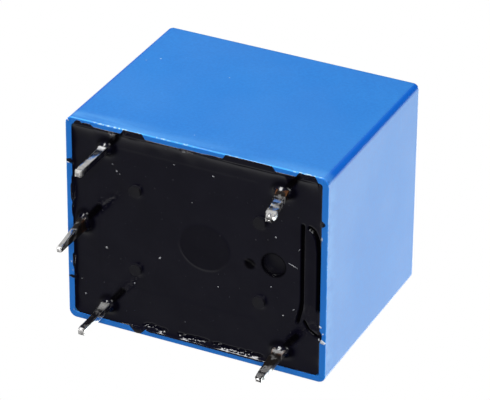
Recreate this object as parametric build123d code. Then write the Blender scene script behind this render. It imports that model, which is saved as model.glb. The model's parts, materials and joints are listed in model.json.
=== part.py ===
from build123d import *
import math
import os

# A sealed board relay with one change-over contact, sizes in millimetres.
# z = 0 is the board, +Z points away from it, and the coil end is at -X.

# Cover: a drafted box that is open towards the board
cover_length = 19.15
cover_width = 15.5
cover_height = 15.0
cover_wall = 0.45
cover_top = 0.6
cover_corner_radius = 0.55
cover_inner_radius = 0.2
cover_edge_radius = 0.45
cover_rim_radius = 0.08
cover_draft = 0.5
stop_rib_width = 0.8
stop_rib_depth = 0.3
stop_rib_end_inset = 5.2

# Board side: standoffs, sealing resin and its recesses
rim_gap = 0.15
resin_dip = 0.15
resin_thickness = 0.3
resin_border = 0.15
resin_border_slope = 0.35
resin_collar_width = 0.36
resin_collar_height = 0.28
vent_radius = 0.85
vent_end_inset = 3.915
vent_side_offset = -0.25
vent_base_depth = 0.25
gate_disc_radius = 1.8
gate_disc_height = 0.03
gate_disc_x = 0.62
gate_disc_y = -0.26
groove_width = 0.24
groove_length = 6.2
groove_depth = 0.1
groove_end_inset = 1.83
groove_side_offset = -0.65
edge_groove_end_inset = 0.72
standoff_radius = 0.43
standoff_spacing_x = 9.13
standoff_spacing_y = 6.04
standoff_end_offset = 0.15
standoff_side_offset = -0.29

# Base plate inside the cover
base_thickness = 1.4
base_clearance = 0.08
rail_width = 0.8
tower_wall = 0.5
tower_height = 2.4
slot_clearance = 0.04

# Terminals: blades for the contacts, square pins for the coil
blade_thickness = 0.42
blade_width = 0.85
blade_tip_width = 0.46
strip_width = 2.4
com_blade_width = 1.0
com_tip_width = 0.3
com_strip_width = 3.6
tip_thickness = 0.3
coil_pin_size = 0.52
coil_pin_tip_size = 0.44
pin_reach = 3.87
pin_tip_chamfer = 0.08
contact_end_inset = 3.25
coil_pin_end_inset = 3.02
com_end_inset = 1.32
pin_side_inset = 1.7
arm_bend_radius = 0.8
arm_overhang = 1.3
com_lean = (0.2, 0.07)
nc_lean = (0.9, -0.19)
no_lean = (0.24, -0.03)
coil_lean = (0.05, -0.04)

# Magnet: yoke, core, bobbin and winding
yoke_thickness = 1.2
yoke_bend_radius = 1.1
yoke_inner_radius = 0.25
yoke_lug_gap = 0.55
yoke_foot_overlap = 0.7
core_diameter = 4.0
core_tail_diameter = 2.4
pole_diameter = 6.4
pole_thickness = 0.7
bobbin_wall = 0.5
bobbin_flange = 0.6
bobbin_flange_radius = 0.8
flange_lip = 0.2
bobbin_yoke_gap = 0.4
winding_depth = 1.82
lug_length = 1.5
lug_width = 1.3
lug_height = 1.6
crossbar_width = 1.4
post_height = 1.2
lead_diameter = 0.14
lead_wrap_height = 0.5
fit_clearance = 0.02

# Armature, contact spring and contacts
armature_thickness = 1.0
armature_travel = 2.6
armature_set_back = 0.4
armature_overhang = 0.6
armature_corner_radius = 1.2
armature_rear_chamfer = 0.15
spring_thickness = 0.16
spring_width = 5.0
spring_bend_radius = 0.45
spring_foot = 1.5
spring_tip_radius = 1.3
contact_radius = 1.1
contact_height = 0.45
contact_dome = 0.12
contact_shank_radius = 0.55
contact_gap = 0.02
ceiling_gap = 0.5
rivet_radius = 0.45
rivet_head_radius = 0.8
rivet_head_height = 0.3
yoke_rivet_spacing = 2.4
yoke_rivet_drop = 3.6
armature_rivet_spacing = 2.6

# Levels worked out from the board upwards and from the ceiling downwards
resin_z = rim_gap + resin_dip
base_bottom = resin_z + resin_thickness
base_top = base_bottom + base_thickness
bobbin_bottom = base_top + yoke_thickness
ceiling = rim_gap + cover_height - cover_top

# Plan positions, each set in from the end of the cover that it stands by
inner_length = cover_length - 2 * cover_wall
inner_width = cover_width - 2 * cover_wall
com_x = com_end_inset - cover_length / 2
coil_pin_x = coil_pin_end_inset - cover_length / 2
contact_x = cover_length / 2 - contact_end_inset
pin_y = cover_width / 2 - pin_side_inset
spring_x = com_x + blade_thickness / 2 + spring_thickness / 2
yoke_outer = spring_x + spring_thickness / 2
yoke_inner = yoke_outer + yoke_thickness
yoke_width = 2 * (pin_y - lug_width / 2 - yoke_lug_gap)
flange_start = yoke_inner + bobbin_yoke_gap
barrel_diameter = core_diameter + 2 * bobbin_wall
winding_diameter = barrel_diameter + 2 * winding_depth
flange_length = winding_diameter + 2 * flange_lip
flange_width = winding_diameter + 4 * flange_lip
flange_end = flange_start + flange_length
coil_x = flange_start + flange_length / 2

# The armature closes flat on the pole and the yoke, then opens by its travel about the hinge edge
hinge_x = yoke_outer + armature_set_back
reach_x = contact_x - hinge_x
travel = math.radians(armature_travel)
nc_arm_z = ceiling - ceiling_gap - blade_thickness / 2
nc_face_z = nc_arm_z - blade_thickness / 2 - contact_height
spring_rise = reach_x * math.sin(travel)
stack_height = armature_thickness + spring_thickness + contact_height
hinge_z = nc_face_z - contact_gap - spring_rise - stack_height * math.cos(travel)
no_face_z = hinge_z + armature_thickness - contact_height - contact_gap
no_arm_z = no_face_z - contact_height - blade_thickness / 2
spring_top_z = hinge_z + armature_thickness + spring_thickness / 2
rivet_z = hinge_z - yoke_rivet_drop
hinge = Axis((hinge_x, 0, hinge_z), (0, 1, 0))
coil_axis = Axis((coil_x, 0, 0), (0, 0, 1))
rest_contact_x = hinge_x + reach_x * math.cos(travel) - stack_height * math.sin(travel)


def block(x0, x1, y0, y1, z0, z1):
    """A box between two corners."""
    box = Box(x1 - x0, y1 - y0, z1 - z0)
    return Pos((x0 + x1) / 2, (y0 + y1) / 2, (z0 + z1) / 2) * box


def upright(x, y, z0, z1, radius):
    """A cylinder along Z between two levels."""
    rod = Cylinder(radius, z1 - z0)
    return Pos(x, y, (z0 + z1) / 2) * rod


def rounded_outline(length, width, radius, z):
    """A rectangle with round corners, centred on the part at one level."""
    return Plane.XY.offset(z) * RectangleRounded(length, width, radius)


def opened(part):
    """A piece of the closed armature, turned to where the spring holds it at rest."""
    return part.rotate(hinge, -armature_travel)


def armature_rivet_places():
    """The two points along X where the spring is riveted to the armature."""
    middle = coil_x - armature_rivet_spacing / 4
    return [middle - armature_rivet_spacing / 2, middle + armature_rivet_spacing / 2]


def yoke_rivet_places():
    """The two points along Y where the spring is riveted to the yoke."""
    return [-yoke_rivet_spacing / 2, yoke_rivet_spacing / 2]


def standoff_places():
    """The four plan positions of the standoffs."""
    xs = (standoff_end_offset - standoff_spacing_x / 2, standoff_end_offset + standoff_spacing_x / 2)
    ys = (standoff_side_offset - standoff_spacing_y / 2, standoff_side_offset + standoff_spacing_y / 2)
    return [(x, y) for x in xs for y in ys]


def leaning_pin(x, y, size, tip_size, top_z, lean):
    """A terminal's lower end: upright through base and resin, then tapered to a tip that leans from use."""
    section = Pos(x, y, resin_z) * Rectangle(*size)
    stem = extrude(section, top_z - resin_z)
    tip = Pos(x + lean[0], y + lean[1], -pin_reach) * Rectangle(*tip_size)
    outside = loft([section, tip], ruled=True)
    end = outside.faces().sort_by(Axis.Z)[0]
    outside = chamfer(end.edges(), pin_tip_chamfer)
    return stem + outside


def make_cover():
    """The drafted box with round edges, its cavity, and the ribs that the base stops against."""
    shell = extrude(
        rounded_outline(cover_length, cover_width, cover_corner_radius, rim_gap),
        cover_height,
        taper=cover_draft,
    )
    closed_end = shell.faces().sort_by(Axis.Z)[-1]
    shell = fillet(closed_end.edges(), cover_edge_radius)
    rim = shell.faces().sort_by(Axis.Z)[0]
    shell = fillet(rim.edges(), cover_rim_radius)
    cavity = extrude(
        rounded_outline(inner_length, inner_width, cover_inner_radius, rim_gap),
        cover_height - cover_top,
        taper=cover_draft,
    )
    ribs = Part()
    for end in (-1, 1):
        rib_x = end * (cover_length / 2 - stop_rib_end_inset)
        for side in (-1, 1):
            wall_y = side * inner_width / 2
            face_y = side * (inner_width / 2 - stop_rib_depth)
            ribs += block(
                rib_x - stop_rib_width / 2,
                rib_x + stop_rib_width / 2,
                min(wall_y, face_y),
                max(wall_y, face_y),
                base_top,
                ceiling,
            )
    return shell - (cavity - ribs)


def make_com_terminal():
    """The common terminal: a strip behind the spring with a blade at its foot."""
    strip = block(
        com_x - blade_thickness / 2,
        com_x + blade_thickness / 2,
        -com_strip_width / 2,
        com_strip_width / 2,
        base_top,
        rivet_z + spring_foot,
    )
    size = (blade_thickness, com_blade_width)
    terminal = strip + leaning_pin(com_x, 0, size, (tip_thickness, com_tip_width), base_top, com_lean)
    return terminal - yoke_rivet_holes()


def make_contact_terminal(side, arm_z, lean):
    """A contact terminal: a strip bent over at its top into an arm that carries the fixed contact."""
    start = (side * pin_y, base_top)
    corner = (side * pin_y, arm_z)
    end = (-side * arm_overhang, arm_z)
    path = Plane.YZ.offset(contact_x) * FilletPolyline(start, corner, end, radius=arm_bend_radius)
    section = Plane(path @ 0, x_dir=(1, 0, 0), z_dir=path % 0) * Rectangle(strip_width, blade_thickness)
    strip = sweep(section, path=path)
    size = (blade_width, blade_thickness)
    tip_size = (blade_tip_width, tip_thickness)
    terminal = strip + leaning_pin(contact_x, side * pin_y, size, tip_size, base_top, lean)
    hole_x = rest_contact_x if side < 0 else contact_x
    hole_radius = contact_shank_radius + fit_clearance
    return terminal - upright(hole_x, 0, arm_z - blade_thickness, arm_z + blade_thickness, hole_radius)


def make_coil_pin(side):
    """A square coil pin that ends in the post that the winding's lead is wrapped on."""
    top_z = bobbin_bottom + lug_height + post_height
    size = (coil_pin_size, coil_pin_size)
    tip_size = (coil_pin_tip_size, coil_pin_tip_size)
    return leaning_pin(coil_pin_x, side * pin_y, size, tip_size, top_z, coil_lean)


def make_base():
    """The base plate with its standoffs, rails under the bobbin, and towers round the contact strips."""
    length = inner_length - 2 * base_clearance
    width = inner_width - 2 * base_clearance
    base = extrude(rounded_outline(length, width, cover_inner_radius, base_bottom), base_thickness)
    for x, y in standoff_places():
        base += upright(x, y, 0, base_bottom, standoff_radius)
    rail_y = yoke_width / 2 + slot_clearance
    for side in (-1, 1):
        edges = sorted((side * rail_y, side * (rail_y + rail_width)))
        base += block(flange_start, flange_end, edges[0], edges[1], base_top, bobbin_bottom)
    slot_depth = blade_thickness / 2 + slot_clearance
    slot_half = strip_width / 2 + slot_clearance
    for side in (-1, 1):
        y = side * pin_y
        tower = block(
            contact_x - slot_half - tower_wall,
            contact_x + slot_half + tower_wall,
            y - slot_depth - tower_wall,
            y + slot_depth + tower_wall,
            base_top,
            base_top + tower_height,
        )
        slot = block(
            contact_x - slot_half,
            contact_x + slot_half,
            y - slot_depth,
            y + slot_depth,
            base_top,
            base_top + tower_height,
        )
        base += tower - slot
        base -= pin_slot(contact_x, y, blade_width, blade_thickness)
        base -= pin_slot(coil_pin_x, y, coil_pin_size, coil_pin_size)
    base -= pin_slot(com_x, 0, blade_thickness, com_blade_width)
    vent_x = cover_length / 2 - vent_end_inset
    return base - upright(vent_x, vent_side_offset, base_bottom, base_bottom + vent_base_depth, vent_radius)


def pin_slot(x, y, size_x, size_y):
    """The slot through the base plate for one pin."""
    half_x = size_x / 2 + slot_clearance
    half_y = size_y / 2 + slot_clearance
    return block(x - half_x, x + half_x, y - half_y, y + half_y, base_bottom, base_top)


def make_resin(pins):
    """The sealing resin: dished between the walls, with a collar round each pin."""
    walls = rounded_outline(inner_length, inner_width, cover_inner_radius, rim_gap)
    resin = extrude(walls, base_bottom - rim_gap, taper=cover_draft)
    mouth_length = inner_length - 2 * resin_border
    mouth_width = inner_width - 2 * resin_border
    mouth = rounded_outline(mouth_length, mouth_width, cover_inner_radius, rim_gap)
    floor = rounded_outline(
        mouth_length - 2 * resin_border_slope,
        mouth_width - 2 * resin_border_slope,
        cover_inner_radius,
        resin_z,
    )
    resin -= loft([mouth, floor])
    resin += upright(gate_disc_x, gate_disc_y, resin_z - gate_disc_height, resin_z, gate_disc_radius)
    places = [(com_x, 0, blade_thickness, com_blade_width)]
    for side in (-1, 1):
        places.append((coil_pin_x, side * pin_y, coil_pin_size, coil_pin_size))
        places.append((contact_x, side * pin_y, blade_width, blade_thickness))
    for x, y, size_x, size_y in places:
        foot = Pos(x, y, resin_z) * Rectangle(size_x + 2 * resin_collar_width, size_y + 2 * resin_collar_width)
        resin += extrude(foot, -resin_collar_height, taper=45)
    vent_x = cover_length / 2 - vent_end_inset
    resin -= upright(vent_x, vent_side_offset, rim_gap, base_bottom, vent_radius)
    groove = SlotOverall(groove_length, groove_width, rotation=90)
    for end_inset in (groove_end_inset, edge_groove_end_inset):
        start = Pos(cover_length / 2 - end_inset, groove_side_offset, rim_gap)
        resin -= extrude(start * groove, resin_dip + groove_depth)
    for x, y in standoff_places():
        resin -= upright(x, y, 0, base_bottom, standoff_radius)
    for pin in pins:
        resin -= pin
    return resin


def make_yoke():
    """The L-shaped yoke: a foot under the bobbin and a leg up to the armature's hinge edge."""
    foot_end = coil_x + core_tail_diameter / 2 + yoke_foot_overlap
    outline = Polyline(
        (yoke_outer, base_top),
        (foot_end, base_top),
        (foot_end, bobbin_bottom),
        (yoke_inner, bobbin_bottom),
        (yoke_inner, hinge_z),
        (yoke_outer, hinge_z),
        close=True,
    )
    yoke = extrude(make_face(Plane.XZ * outline), yoke_width / 2, both=True)
    uprights = yoke.edges().filter_by(Axis.Y)
    outer_bend = uprights.sort_by_distance((yoke_outer, 0, base_top))[0]
    yoke = fillet(outer_bend, yoke_bend_radius)
    uprights = yoke.edges().filter_by(Axis.Y)
    inner_bend = uprights.sort_by_distance((yoke_inner, 0, bobbin_bottom))[0]
    yoke = fillet(inner_bend, yoke_inner_radius)
    tail_hole = upright(coil_x, 0, base_top, bobbin_bottom, core_tail_diameter / 2 + fit_clearance)
    return yoke - tail_hole - yoke_rivet_holes()


def make_core():
    """The core: a tail staked in the yoke, a shaft through the bobbin, and the pole head."""
    outline = Polyline(
        (coil_x, base_top),
        (coil_x + core_tail_diameter / 2, base_top),
        (coil_x + core_tail_diameter / 2, bobbin_bottom),
        (coil_x + core_diameter / 2, bobbin_bottom),
        (coil_x + core_diameter / 2, hinge_z - pole_thickness),
        (coil_x + pole_diameter / 2, hinge_z - pole_thickness),
        (coil_x + pole_diameter / 2, hinge_z),
        (coil_x, hinge_z),
        close=True,
    )
    return revolve(make_face(Plane.XZ * outline), coil_axis)


def make_bobbin():
    """The bobbin: a barrel between two flanges, and two lugs on a crossbar for the coil pins."""
    top_z = hinge_z - pole_thickness
    flange = Pos(coil_x, 0) * RectangleRounded(flange_length, flange_width, bobbin_flange_radius)
    bobbin = extrude(Pos(0, 0, bobbin_bottom) * flange, bobbin_flange)
    bobbin += extrude(Pos(0, 0, top_z - bobbin_flange) * flange, bobbin_flange)
    bobbin += upright(coil_x, 0, bobbin_bottom, top_z, barrel_diameter / 2)
    lug_end = pin_y + lug_width / 2
    bobbin += block(
        flange_start,
        flange_start + crossbar_width,
        -lug_end,
        lug_end,
        bobbin_bottom,
        bobbin_bottom + bobbin_flange,
    )
    pin_hole = coil_pin_size / 2 + slot_clearance
    for side in (-1, 1):
        y = side * pin_y
        bobbin += block(
            coil_pin_x - lug_length / 2,
            max(coil_pin_x + lug_length / 2, flange_start + crossbar_width / 2),
            y - lug_width / 2,
            y + lug_width / 2,
            bobbin_bottom,
            bobbin_bottom + lug_height,
        )
        bobbin -= block(
            coil_pin_x - pin_hole,
            coil_pin_x + pin_hole,
            y - pin_hole,
            y + pin_hole,
            bobbin_bottom,
            bobbin_bottom + lug_height,
        )
    return bobbin - upright(coil_x, 0, bobbin_bottom, top_z, core_diameter / 2 + fit_clearance)


def make_winding():
    """The wound wire as one ring between the flanges."""
    bottom = bobbin_bottom + bobbin_flange
    top = hinge_z - pole_thickness - bobbin_flange
    ring = upright(coil_x, 0, bottom, top, winding_diameter / 2)
    return ring - upright(coil_x, 0, bottom, top, barrel_diameter / 2 + fit_clearance)


def make_coil_lead(side):
    """A lead: turns wrapped round the post, and the run of wire to the winding."""
    post = Vector(coil_pin_x, side * pin_y, bobbin_bottom + lug_height + lead_wrap_height / 2)
    centre = Vector(coil_x, 0, post.Z)
    wrap_inner = coil_pin_size / math.sqrt(2) + fit_clearance
    wrap = upright(
        post.X, post.Y, post.Z - lead_wrap_height / 2, post.Z + lead_wrap_height / 2, wrap_inner + lead_diameter
    )
    bore = upright(post.X, post.Y, post.Z - lead_wrap_height / 2, post.Z + lead_wrap_height / 2, wrap_inner)
    heading = (centre - post).normalized()
    start = post + heading * (wrap_inner + lead_diameter / 2)
    run = (centre - start).length - winding_diameter / 2 - fit_clearance
    wire = extrude(Plane(start, z_dir=heading) * Circle(lead_diameter / 2), run)
    return wrap - bore + wire


def make_armature():
    """The flat armature plate, round at its free corners and eased where the spring bends over it."""
    tip_x = coil_x + pole_diameter / 2 + armature_overhang
    plate = block(
        hinge_x, tip_x, -yoke_width / 2, yoke_width / 2, hinge_z, hinge_z + armature_thickness
    )
    tip_edges = plate.edges().filter_by(Axis.Z).group_by(Axis.X)[-1]
    plate = fillet(tip_edges, armature_corner_radius)
    rear_edges = plate.edges().filter_by(Axis.Y).group_by(Axis.X)[0]
    plate = chamfer(rear_edges.sort_by(Axis.Z)[-1], armature_rear_chamfer)
    for x in armature_rivet_places():
        plate -= upright(x, 0, hinge_z, hinge_z + armature_thickness, rivet_radius + fit_clearance)
    return opened(plate)


def make_contact_spring():
    """The leaf spring: up the back of the yoke, over the hinge, along the armature to the contact."""
    tip_x = contact_x + spring_tip_radius
    tip = (tip_x - hinge_x, spring_top_z - hinge_z)
    tip_rest = Vector(
        hinge_x + tip[0] * math.cos(travel) - tip[1] * math.sin(travel),
        hinge_z + tip[0] * math.sin(travel) + tip[1] * math.cos(travel),
    )
    corner_z = tip_rest.Y - (tip_rest.X - spring_x) * math.tan(travel)
    foot = (spring_x, rivet_z - spring_foot)
    corner = (spring_x, corner_z)
    end = (tip_rest.X, tip_rest.Y)
    path = Plane.XZ * FilletPolyline(foot, corner, end, radius=spring_bend_radius)
    section = Plane(path @ 0, x_dir=(0, 1, 0), z_dir=path % 0) * Rectangle(spring_width, spring_thickness)
    leaf = sweep(section, path=path)
    half_width = spring_width / 2
    taper_start = coil_x + pole_diameter / 2 + armature_overhang
    plan = make_face(Polyline(
        (spring_x - spring_thickness, -half_width),
        (taper_start, -half_width),
        (rest_contact_x, -spring_tip_radius),
        (rest_contact_x, spring_tip_radius),
        (taper_start, half_width),
        (spring_x - spring_thickness, half_width),
        close=True,
    ))
    plan += Pos(rest_contact_x, 0) * Circle(spring_tip_radius)
    leaf = leaf & extrude(plan, ceiling)
    top_low = spring_top_z - spring_thickness
    top_high = spring_top_z + spring_thickness
    for x in armature_rivet_places():
        leaf -= opened(upright(x, 0, top_low, top_high, rivet_radius + fit_clearance))
    leaf -= opened(upright(contact_x, 0, top_low, top_high, contact_shank_radius + fit_clearance))
    return leaf - yoke_rivet_holes()


def yoke_rivet_row(radius, start_x, end_x):
    """Cylinders along X at the yoke's rivet places."""
    row = Part()
    for y in yoke_rivet_places():
        circle = Plane((start_x, y, rivet_z), z_dir=(1, 0, 0)) * Circle(radius)
        row += extrude(circle, end_x - start_x)
    return row


def yoke_rivet_holes():
    """The holes through common strip, spring and yoke."""
    return yoke_rivet_row(rivet_radius + fit_clearance, com_x - blade_thickness, yoke_inner + fit_clearance)


def make_yoke_rivets():
    """The rivets that hold the common strip and the spring to the yoke, flush on the inside."""
    outside = com_x - blade_thickness / 2
    shanks = yoke_rivet_row(rivet_radius, outside, yoke_inner)
    return shanks + yoke_rivet_row(rivet_head_radius, outside - rivet_head_height, outside)


def make_armature_rivets():
    """The rivets that hold the spring to the armature, flush on the pole side."""
    top = hinge_z + armature_thickness + spring_thickness
    rivets = Part()
    for x in armature_rivet_places():
        rivets += upright(x, 0, hinge_z, top, rivet_radius)
        rivets += upright(x, 0, top, top + rivet_head_height, rivet_head_radius)
    return opened(rivets)


def contact_button(x, base_z, direction):
    """A contact's head: a short cylinder with a low dome, facing up or down from its seat."""
    shoulder = base_z + direction * (contact_height - contact_dome)
    crown = base_z + direction * contact_height
    bulge_x = contact_radius * math.sin(math.pi / 4)
    sphere_radius = (contact_radius ** 2 + contact_dome ** 2) / (2 * contact_dome)
    bulge_drop = sphere_radius - math.sqrt(sphere_radius ** 2 - bulge_x ** 2)
    side = Polyline((x, crown), (x, base_z), (x + contact_radius, base_z), (x + contact_radius, shoulder))
    dome = ThreePointArc(
        (x + contact_radius, shoulder),
        (x + bulge_x, crown - direction * bulge_drop),
        (x, crown),
    )
    profile = make_face(Plane.XZ * (side + dome))
    return revolve(profile, Axis((x, 0, 0), (0, 0, 1)))


def make_moving_contact():
    """The double-headed contact through the free end of the spring."""
    low = spring_top_z - spring_thickness / 2
    high = spring_top_z + spring_thickness / 2
    contact = upright(contact_x, 0, low, high, contact_shank_radius)
    contact += contact_button(contact_x, low, -1)
    contact += contact_button(contact_x, high, 1)
    return opened(contact)


def make_nc_contact():
    """The fixed contact under the upper arm, which the moving contact rests against."""
    low = nc_arm_z - blade_thickness / 2
    shank = upright(rest_contact_x, 0, low, low + blade_thickness, contact_shank_radius)
    return shank + contact_button(rest_contact_x, low, -1)


def make_no_contact():
    """The fixed contact on the lower arm, which the moving contact closes on."""
    high = no_arm_z + blade_thickness / 2
    shank = upright(contact_x, 0, high - blade_thickness, high, contact_shank_radius)
    return shank + contact_button(contact_x, high, 1)


def make_nodes():
    """Every piece of the relay by its node name."""
    terminals = {
        "com_terminal": make_com_terminal(),
        "nc_terminal": make_contact_terminal(-1, nc_arm_z, nc_lean),
        "no_terminal": make_contact_terminal(1, no_arm_z, no_lean),
        "coil_pin_a": make_coil_pin(-1),
        "coil_pin_b": make_coil_pin(1),
    }
    return {
        "cover": make_cover(),
        "base": make_base(),
        "sealing_resin": make_resin(terminals.values()),
        **terminals,
        "yoke": make_yoke(),
        "core": make_core(),
        "bobbin": make_bobbin(),
        "coil_winding": make_winding(),
        "coil_lead_a": make_coil_lead(-1),
        "coil_lead_b": make_coil_lead(1),
        "armature": make_armature(),
        "contact_spring": make_contact_spring(),
        "armature_rivets": make_armature_rivets(),
        "yoke_rivets": make_yoke_rivets(),
        "moving_contact": make_moving_contact(),
        "nc_contact": make_nc_contact(),
        "no_contact": make_no_contact(),
    }


os.makedirs("parts", exist_ok=True)
for name, piece in make_nodes().items():
    piece.label = name
    export_step(piece, f"parts/{name}.step")

print(f"armature hinge at x {hinge_x:.4f}, z {hinge_z:.4f}; contact travel {spring_rise:.3f}")
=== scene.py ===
"""The look of a small sealed board relay that stands on its five pins, seen from its pin side."""

import json
import logging
import math
from dataclasses import dataclass, field
from enum import Enum
from typing import Callable, Union

import bmesh
import bpy
import numpy as np
from mathutils import Matrix, Vector


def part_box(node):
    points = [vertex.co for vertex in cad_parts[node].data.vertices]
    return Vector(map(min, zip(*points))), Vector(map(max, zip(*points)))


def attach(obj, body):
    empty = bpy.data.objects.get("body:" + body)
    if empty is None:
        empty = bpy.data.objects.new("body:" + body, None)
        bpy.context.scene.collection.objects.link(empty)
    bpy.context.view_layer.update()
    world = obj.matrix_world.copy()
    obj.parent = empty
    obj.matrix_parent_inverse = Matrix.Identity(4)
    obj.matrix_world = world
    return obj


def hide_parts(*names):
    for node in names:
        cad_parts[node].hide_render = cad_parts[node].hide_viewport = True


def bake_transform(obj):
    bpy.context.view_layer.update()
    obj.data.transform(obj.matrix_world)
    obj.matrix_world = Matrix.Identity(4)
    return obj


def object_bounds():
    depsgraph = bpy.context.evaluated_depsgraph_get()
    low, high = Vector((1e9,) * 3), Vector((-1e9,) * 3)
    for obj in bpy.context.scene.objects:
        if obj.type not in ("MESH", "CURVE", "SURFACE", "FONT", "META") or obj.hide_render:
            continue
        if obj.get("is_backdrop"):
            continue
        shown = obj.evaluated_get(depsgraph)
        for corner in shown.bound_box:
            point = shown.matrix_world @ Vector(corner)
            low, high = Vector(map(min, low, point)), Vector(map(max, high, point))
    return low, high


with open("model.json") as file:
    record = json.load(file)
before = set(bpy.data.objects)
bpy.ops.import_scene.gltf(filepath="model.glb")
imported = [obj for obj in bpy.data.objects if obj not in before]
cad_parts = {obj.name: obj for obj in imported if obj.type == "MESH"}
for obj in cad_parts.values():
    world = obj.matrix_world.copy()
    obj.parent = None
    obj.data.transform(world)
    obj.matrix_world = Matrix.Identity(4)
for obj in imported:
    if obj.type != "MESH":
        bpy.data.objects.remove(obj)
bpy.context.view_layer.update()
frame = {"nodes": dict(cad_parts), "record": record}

MM = 0.001
HOUSING = "housing"
SEED = 20
GRAIN_DEPTH = 0.00002
UNTURNED = (0.0, 0.0, 0.0)
WHITE = (1.0, 1.0, 1.0, 1.0)
log = logging.getLogger("relay")

Colour = tuple[float, float, float]
Span = tuple[float, float]
Array = np.ndarray
Piece = bpy.types.Object
Look = bpy.types.Material
Tree = bpy.types.NodeTree
Node = bpy.types.Node
Socket = bpy.types.NodeSocket
Feed = Union[Socket, float, tuple[float, ...]]


class Side(Enum):
    """The four walls of the cover, each with the row of noise that makes the overflow on it ragged."""

    COIL_END = 8.0
    CONTACT_END = 11.0
    NEAR = 4.0
    FAR = 3.0


@dataclass(frozen=True)
class TipShape:
    """How a soldered pin ends: its rounding in millimetres, and the shares that shape and frost it."""

    rounding: float
    least: float
    power: float
    squareness: float
    crumple: float
    frost: float


class Tip(Enum):
    """The ends that the soldered pins have."""

    BLUNT = TipShape(0.22, 0.40, 0.50, 4.0, 0.07, 1.0)
    BEAD = TipShape(1.00, 0.20, 0.90, 2.7, 0.20, 0.3)
    POINT = TipShape(0.20, 0.30, 0.50, 4.0, 0.03, 1.0)
    ROUND = TipShape(0.55, 0.38, 0.55, 3.0, 0.05, 0.3)


def rgba(colour: Colour) -> tuple[float, float, float, float]:
    """Give a linear colour its full alpha."""
    return (*colour, 1.0)


def smooth(low: float, high: float, value: Array) -> Array:
    """Rise smoothly from 0 at low to 1 at high, or fall where high is the lower one."""
    share = np.clip((value - low) / (high - low), 0.0, 1.0)
    return share * share * (3.0 - 2.0 * share)


class ValueNoise:
    """Smooth lattice noise between -1 and 1 that is the same in each run."""

    offset: Span = (0.37, 0.61)

    def __init__(self, seed: int, cells: int = 64) -> None:
        """Draw the lattice.

        Args:
            seed: Picks the lattice.
            cells: Lattice points along each axis before it repeats.
        """
        self.cells = cells
        self.lattice = np.random.default_rng(seed).uniform(-1.0, 1.0, (cells, cells))

    def __call__(self, x: Array, y: Array, size: float) -> Array:
        """Sample the noise.

        Args:
            x: First coordinates in millimetres.
            y: Second coordinates in millimetres.
            size: Width of one lattice cell in millimetres.

        Returns:
            One value for each point.
        """
        u = np.asarray(x, float) / size + self.offset[0]
        v = np.asarray(y, float) / size + self.offset[1]
        i = np.floor(u).astype(int)
        j = np.floor(v).astype(int)
        fu = smooth(0.0, 1.0, u - i)
        fv = smooth(0.0, 1.0, v - j)
        grid = self.lattice
        n = self.cells
        low = grid[i % n, j % n] * (1 - fu) + grid[(i + 1) % n, j % n] * fu
        high = grid[i % n, (j + 1) % n] * (1 - fu) + grid[(i + 1) % n, (j + 1) % n] * fu
        return low * (1 - fv) + high * fv


@dataclass(frozen=True)
class Wave:
    """Noise of some amount, on a lattice with cells of some size in millimetres."""

    amount: float
    cell: float

    def at(self, noise: ValueNoise, x: Array, y: Array) -> Array:
        """The wave's value at each point."""
        return self.amount * noise(x, y, self.cell)


@dataclass(frozen=True)
class RoundWave:
    """Noise that closes round a pin: its girth on the lattice, and the row and wave of both its parts."""

    girth: float
    rows: Span
    waves: tuple[Wave, Wave]

    def at(self, noise: ValueNoise, z: Array, turn: Array) -> Array:
        """The wave's value at each corner of a sleeve."""
        first = self.waves[0].at(noise, z, self.girth * np.cos(turn) + self.rows[0])
        return first + self.waves[1].at(noise, z, self.girth * np.sin(turn) + self.rows[1])


def mesh_piece(name: str, points: Array, faces: list[tuple[int, ...]]) -> Piece:
    """Make a smooth-shaded mesh object at the origin.

    Args:
        name: Name of the piece.
        points: Corner places in millimetres, in the part's frame.
        faces: Corner numbers of each face, turned outwards.

    Returns:
        The new object, linked to the scene.
    """
    mesh = bpy.data.meshes.new(name)
    mesh.from_pydata((np.asarray(points) * MM).tolist(), [], faces)
    mesh.validate()
    mesh.polygons.foreach_set("use_smooth", [True] * len(mesh.polygons))
    mesh.update()
    made = bpy.data.objects.new(name, mesh)
    bpy.context.scene.collection.objects.link(made)
    return made


def point_values(piece: Piece, name: str, values: Array) -> None:
    """Store one number for each corner of a piece, for its material to read."""
    layer = piece.data.attributes.new(name, "FLOAT", "POINT")
    layer.data.foreach_set("value", np.asarray(values, np.float32))


def grid_quads(rows: int, columns: int) -> Array:
    """Corner numbers of each square of a grid, turned towards the board.

    Args:
        rows: Corners along the first axis.
        columns: Corners along the second axis.

    Returns:
        One row of four corner numbers for each square.
    """
    number = np.arange(rows * columns).reshape(rows, columns)
    corners = [number[:-1, :-1], number[:-1, 1:], number[1:, 1:], number[1:, :-1]]
    return np.stack(corners, axis=-1).reshape(-1, 4)


def ring_faces(first: Array, second: Array, ahead: bool) -> list[tuple[int, ...]]:
    """Number the faces between two closed rings of corners.

    Args:
        first: Corner numbers of the ring that each face starts on.
        second: Corner numbers of the other ring.
        ahead: Whether a face goes on along its own ring, or over to the other one.

    Returns:
        The faces' corner numbers.
    """
    next_first, next_second = np.roll(first, -1), np.roll(second, -1)
    order = [first, next_first, next_second, second] if ahead else [first, second, next_second, next_first]
    return [tuple(face) for face in np.stack(order, axis=-1).tolist()]


def dress(piece: Piece, material: Look) -> None:
    """Give a piece one material in place of any that it has."""
    piece.data.materials.clear()
    piece.data.materials.append(material)


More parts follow.
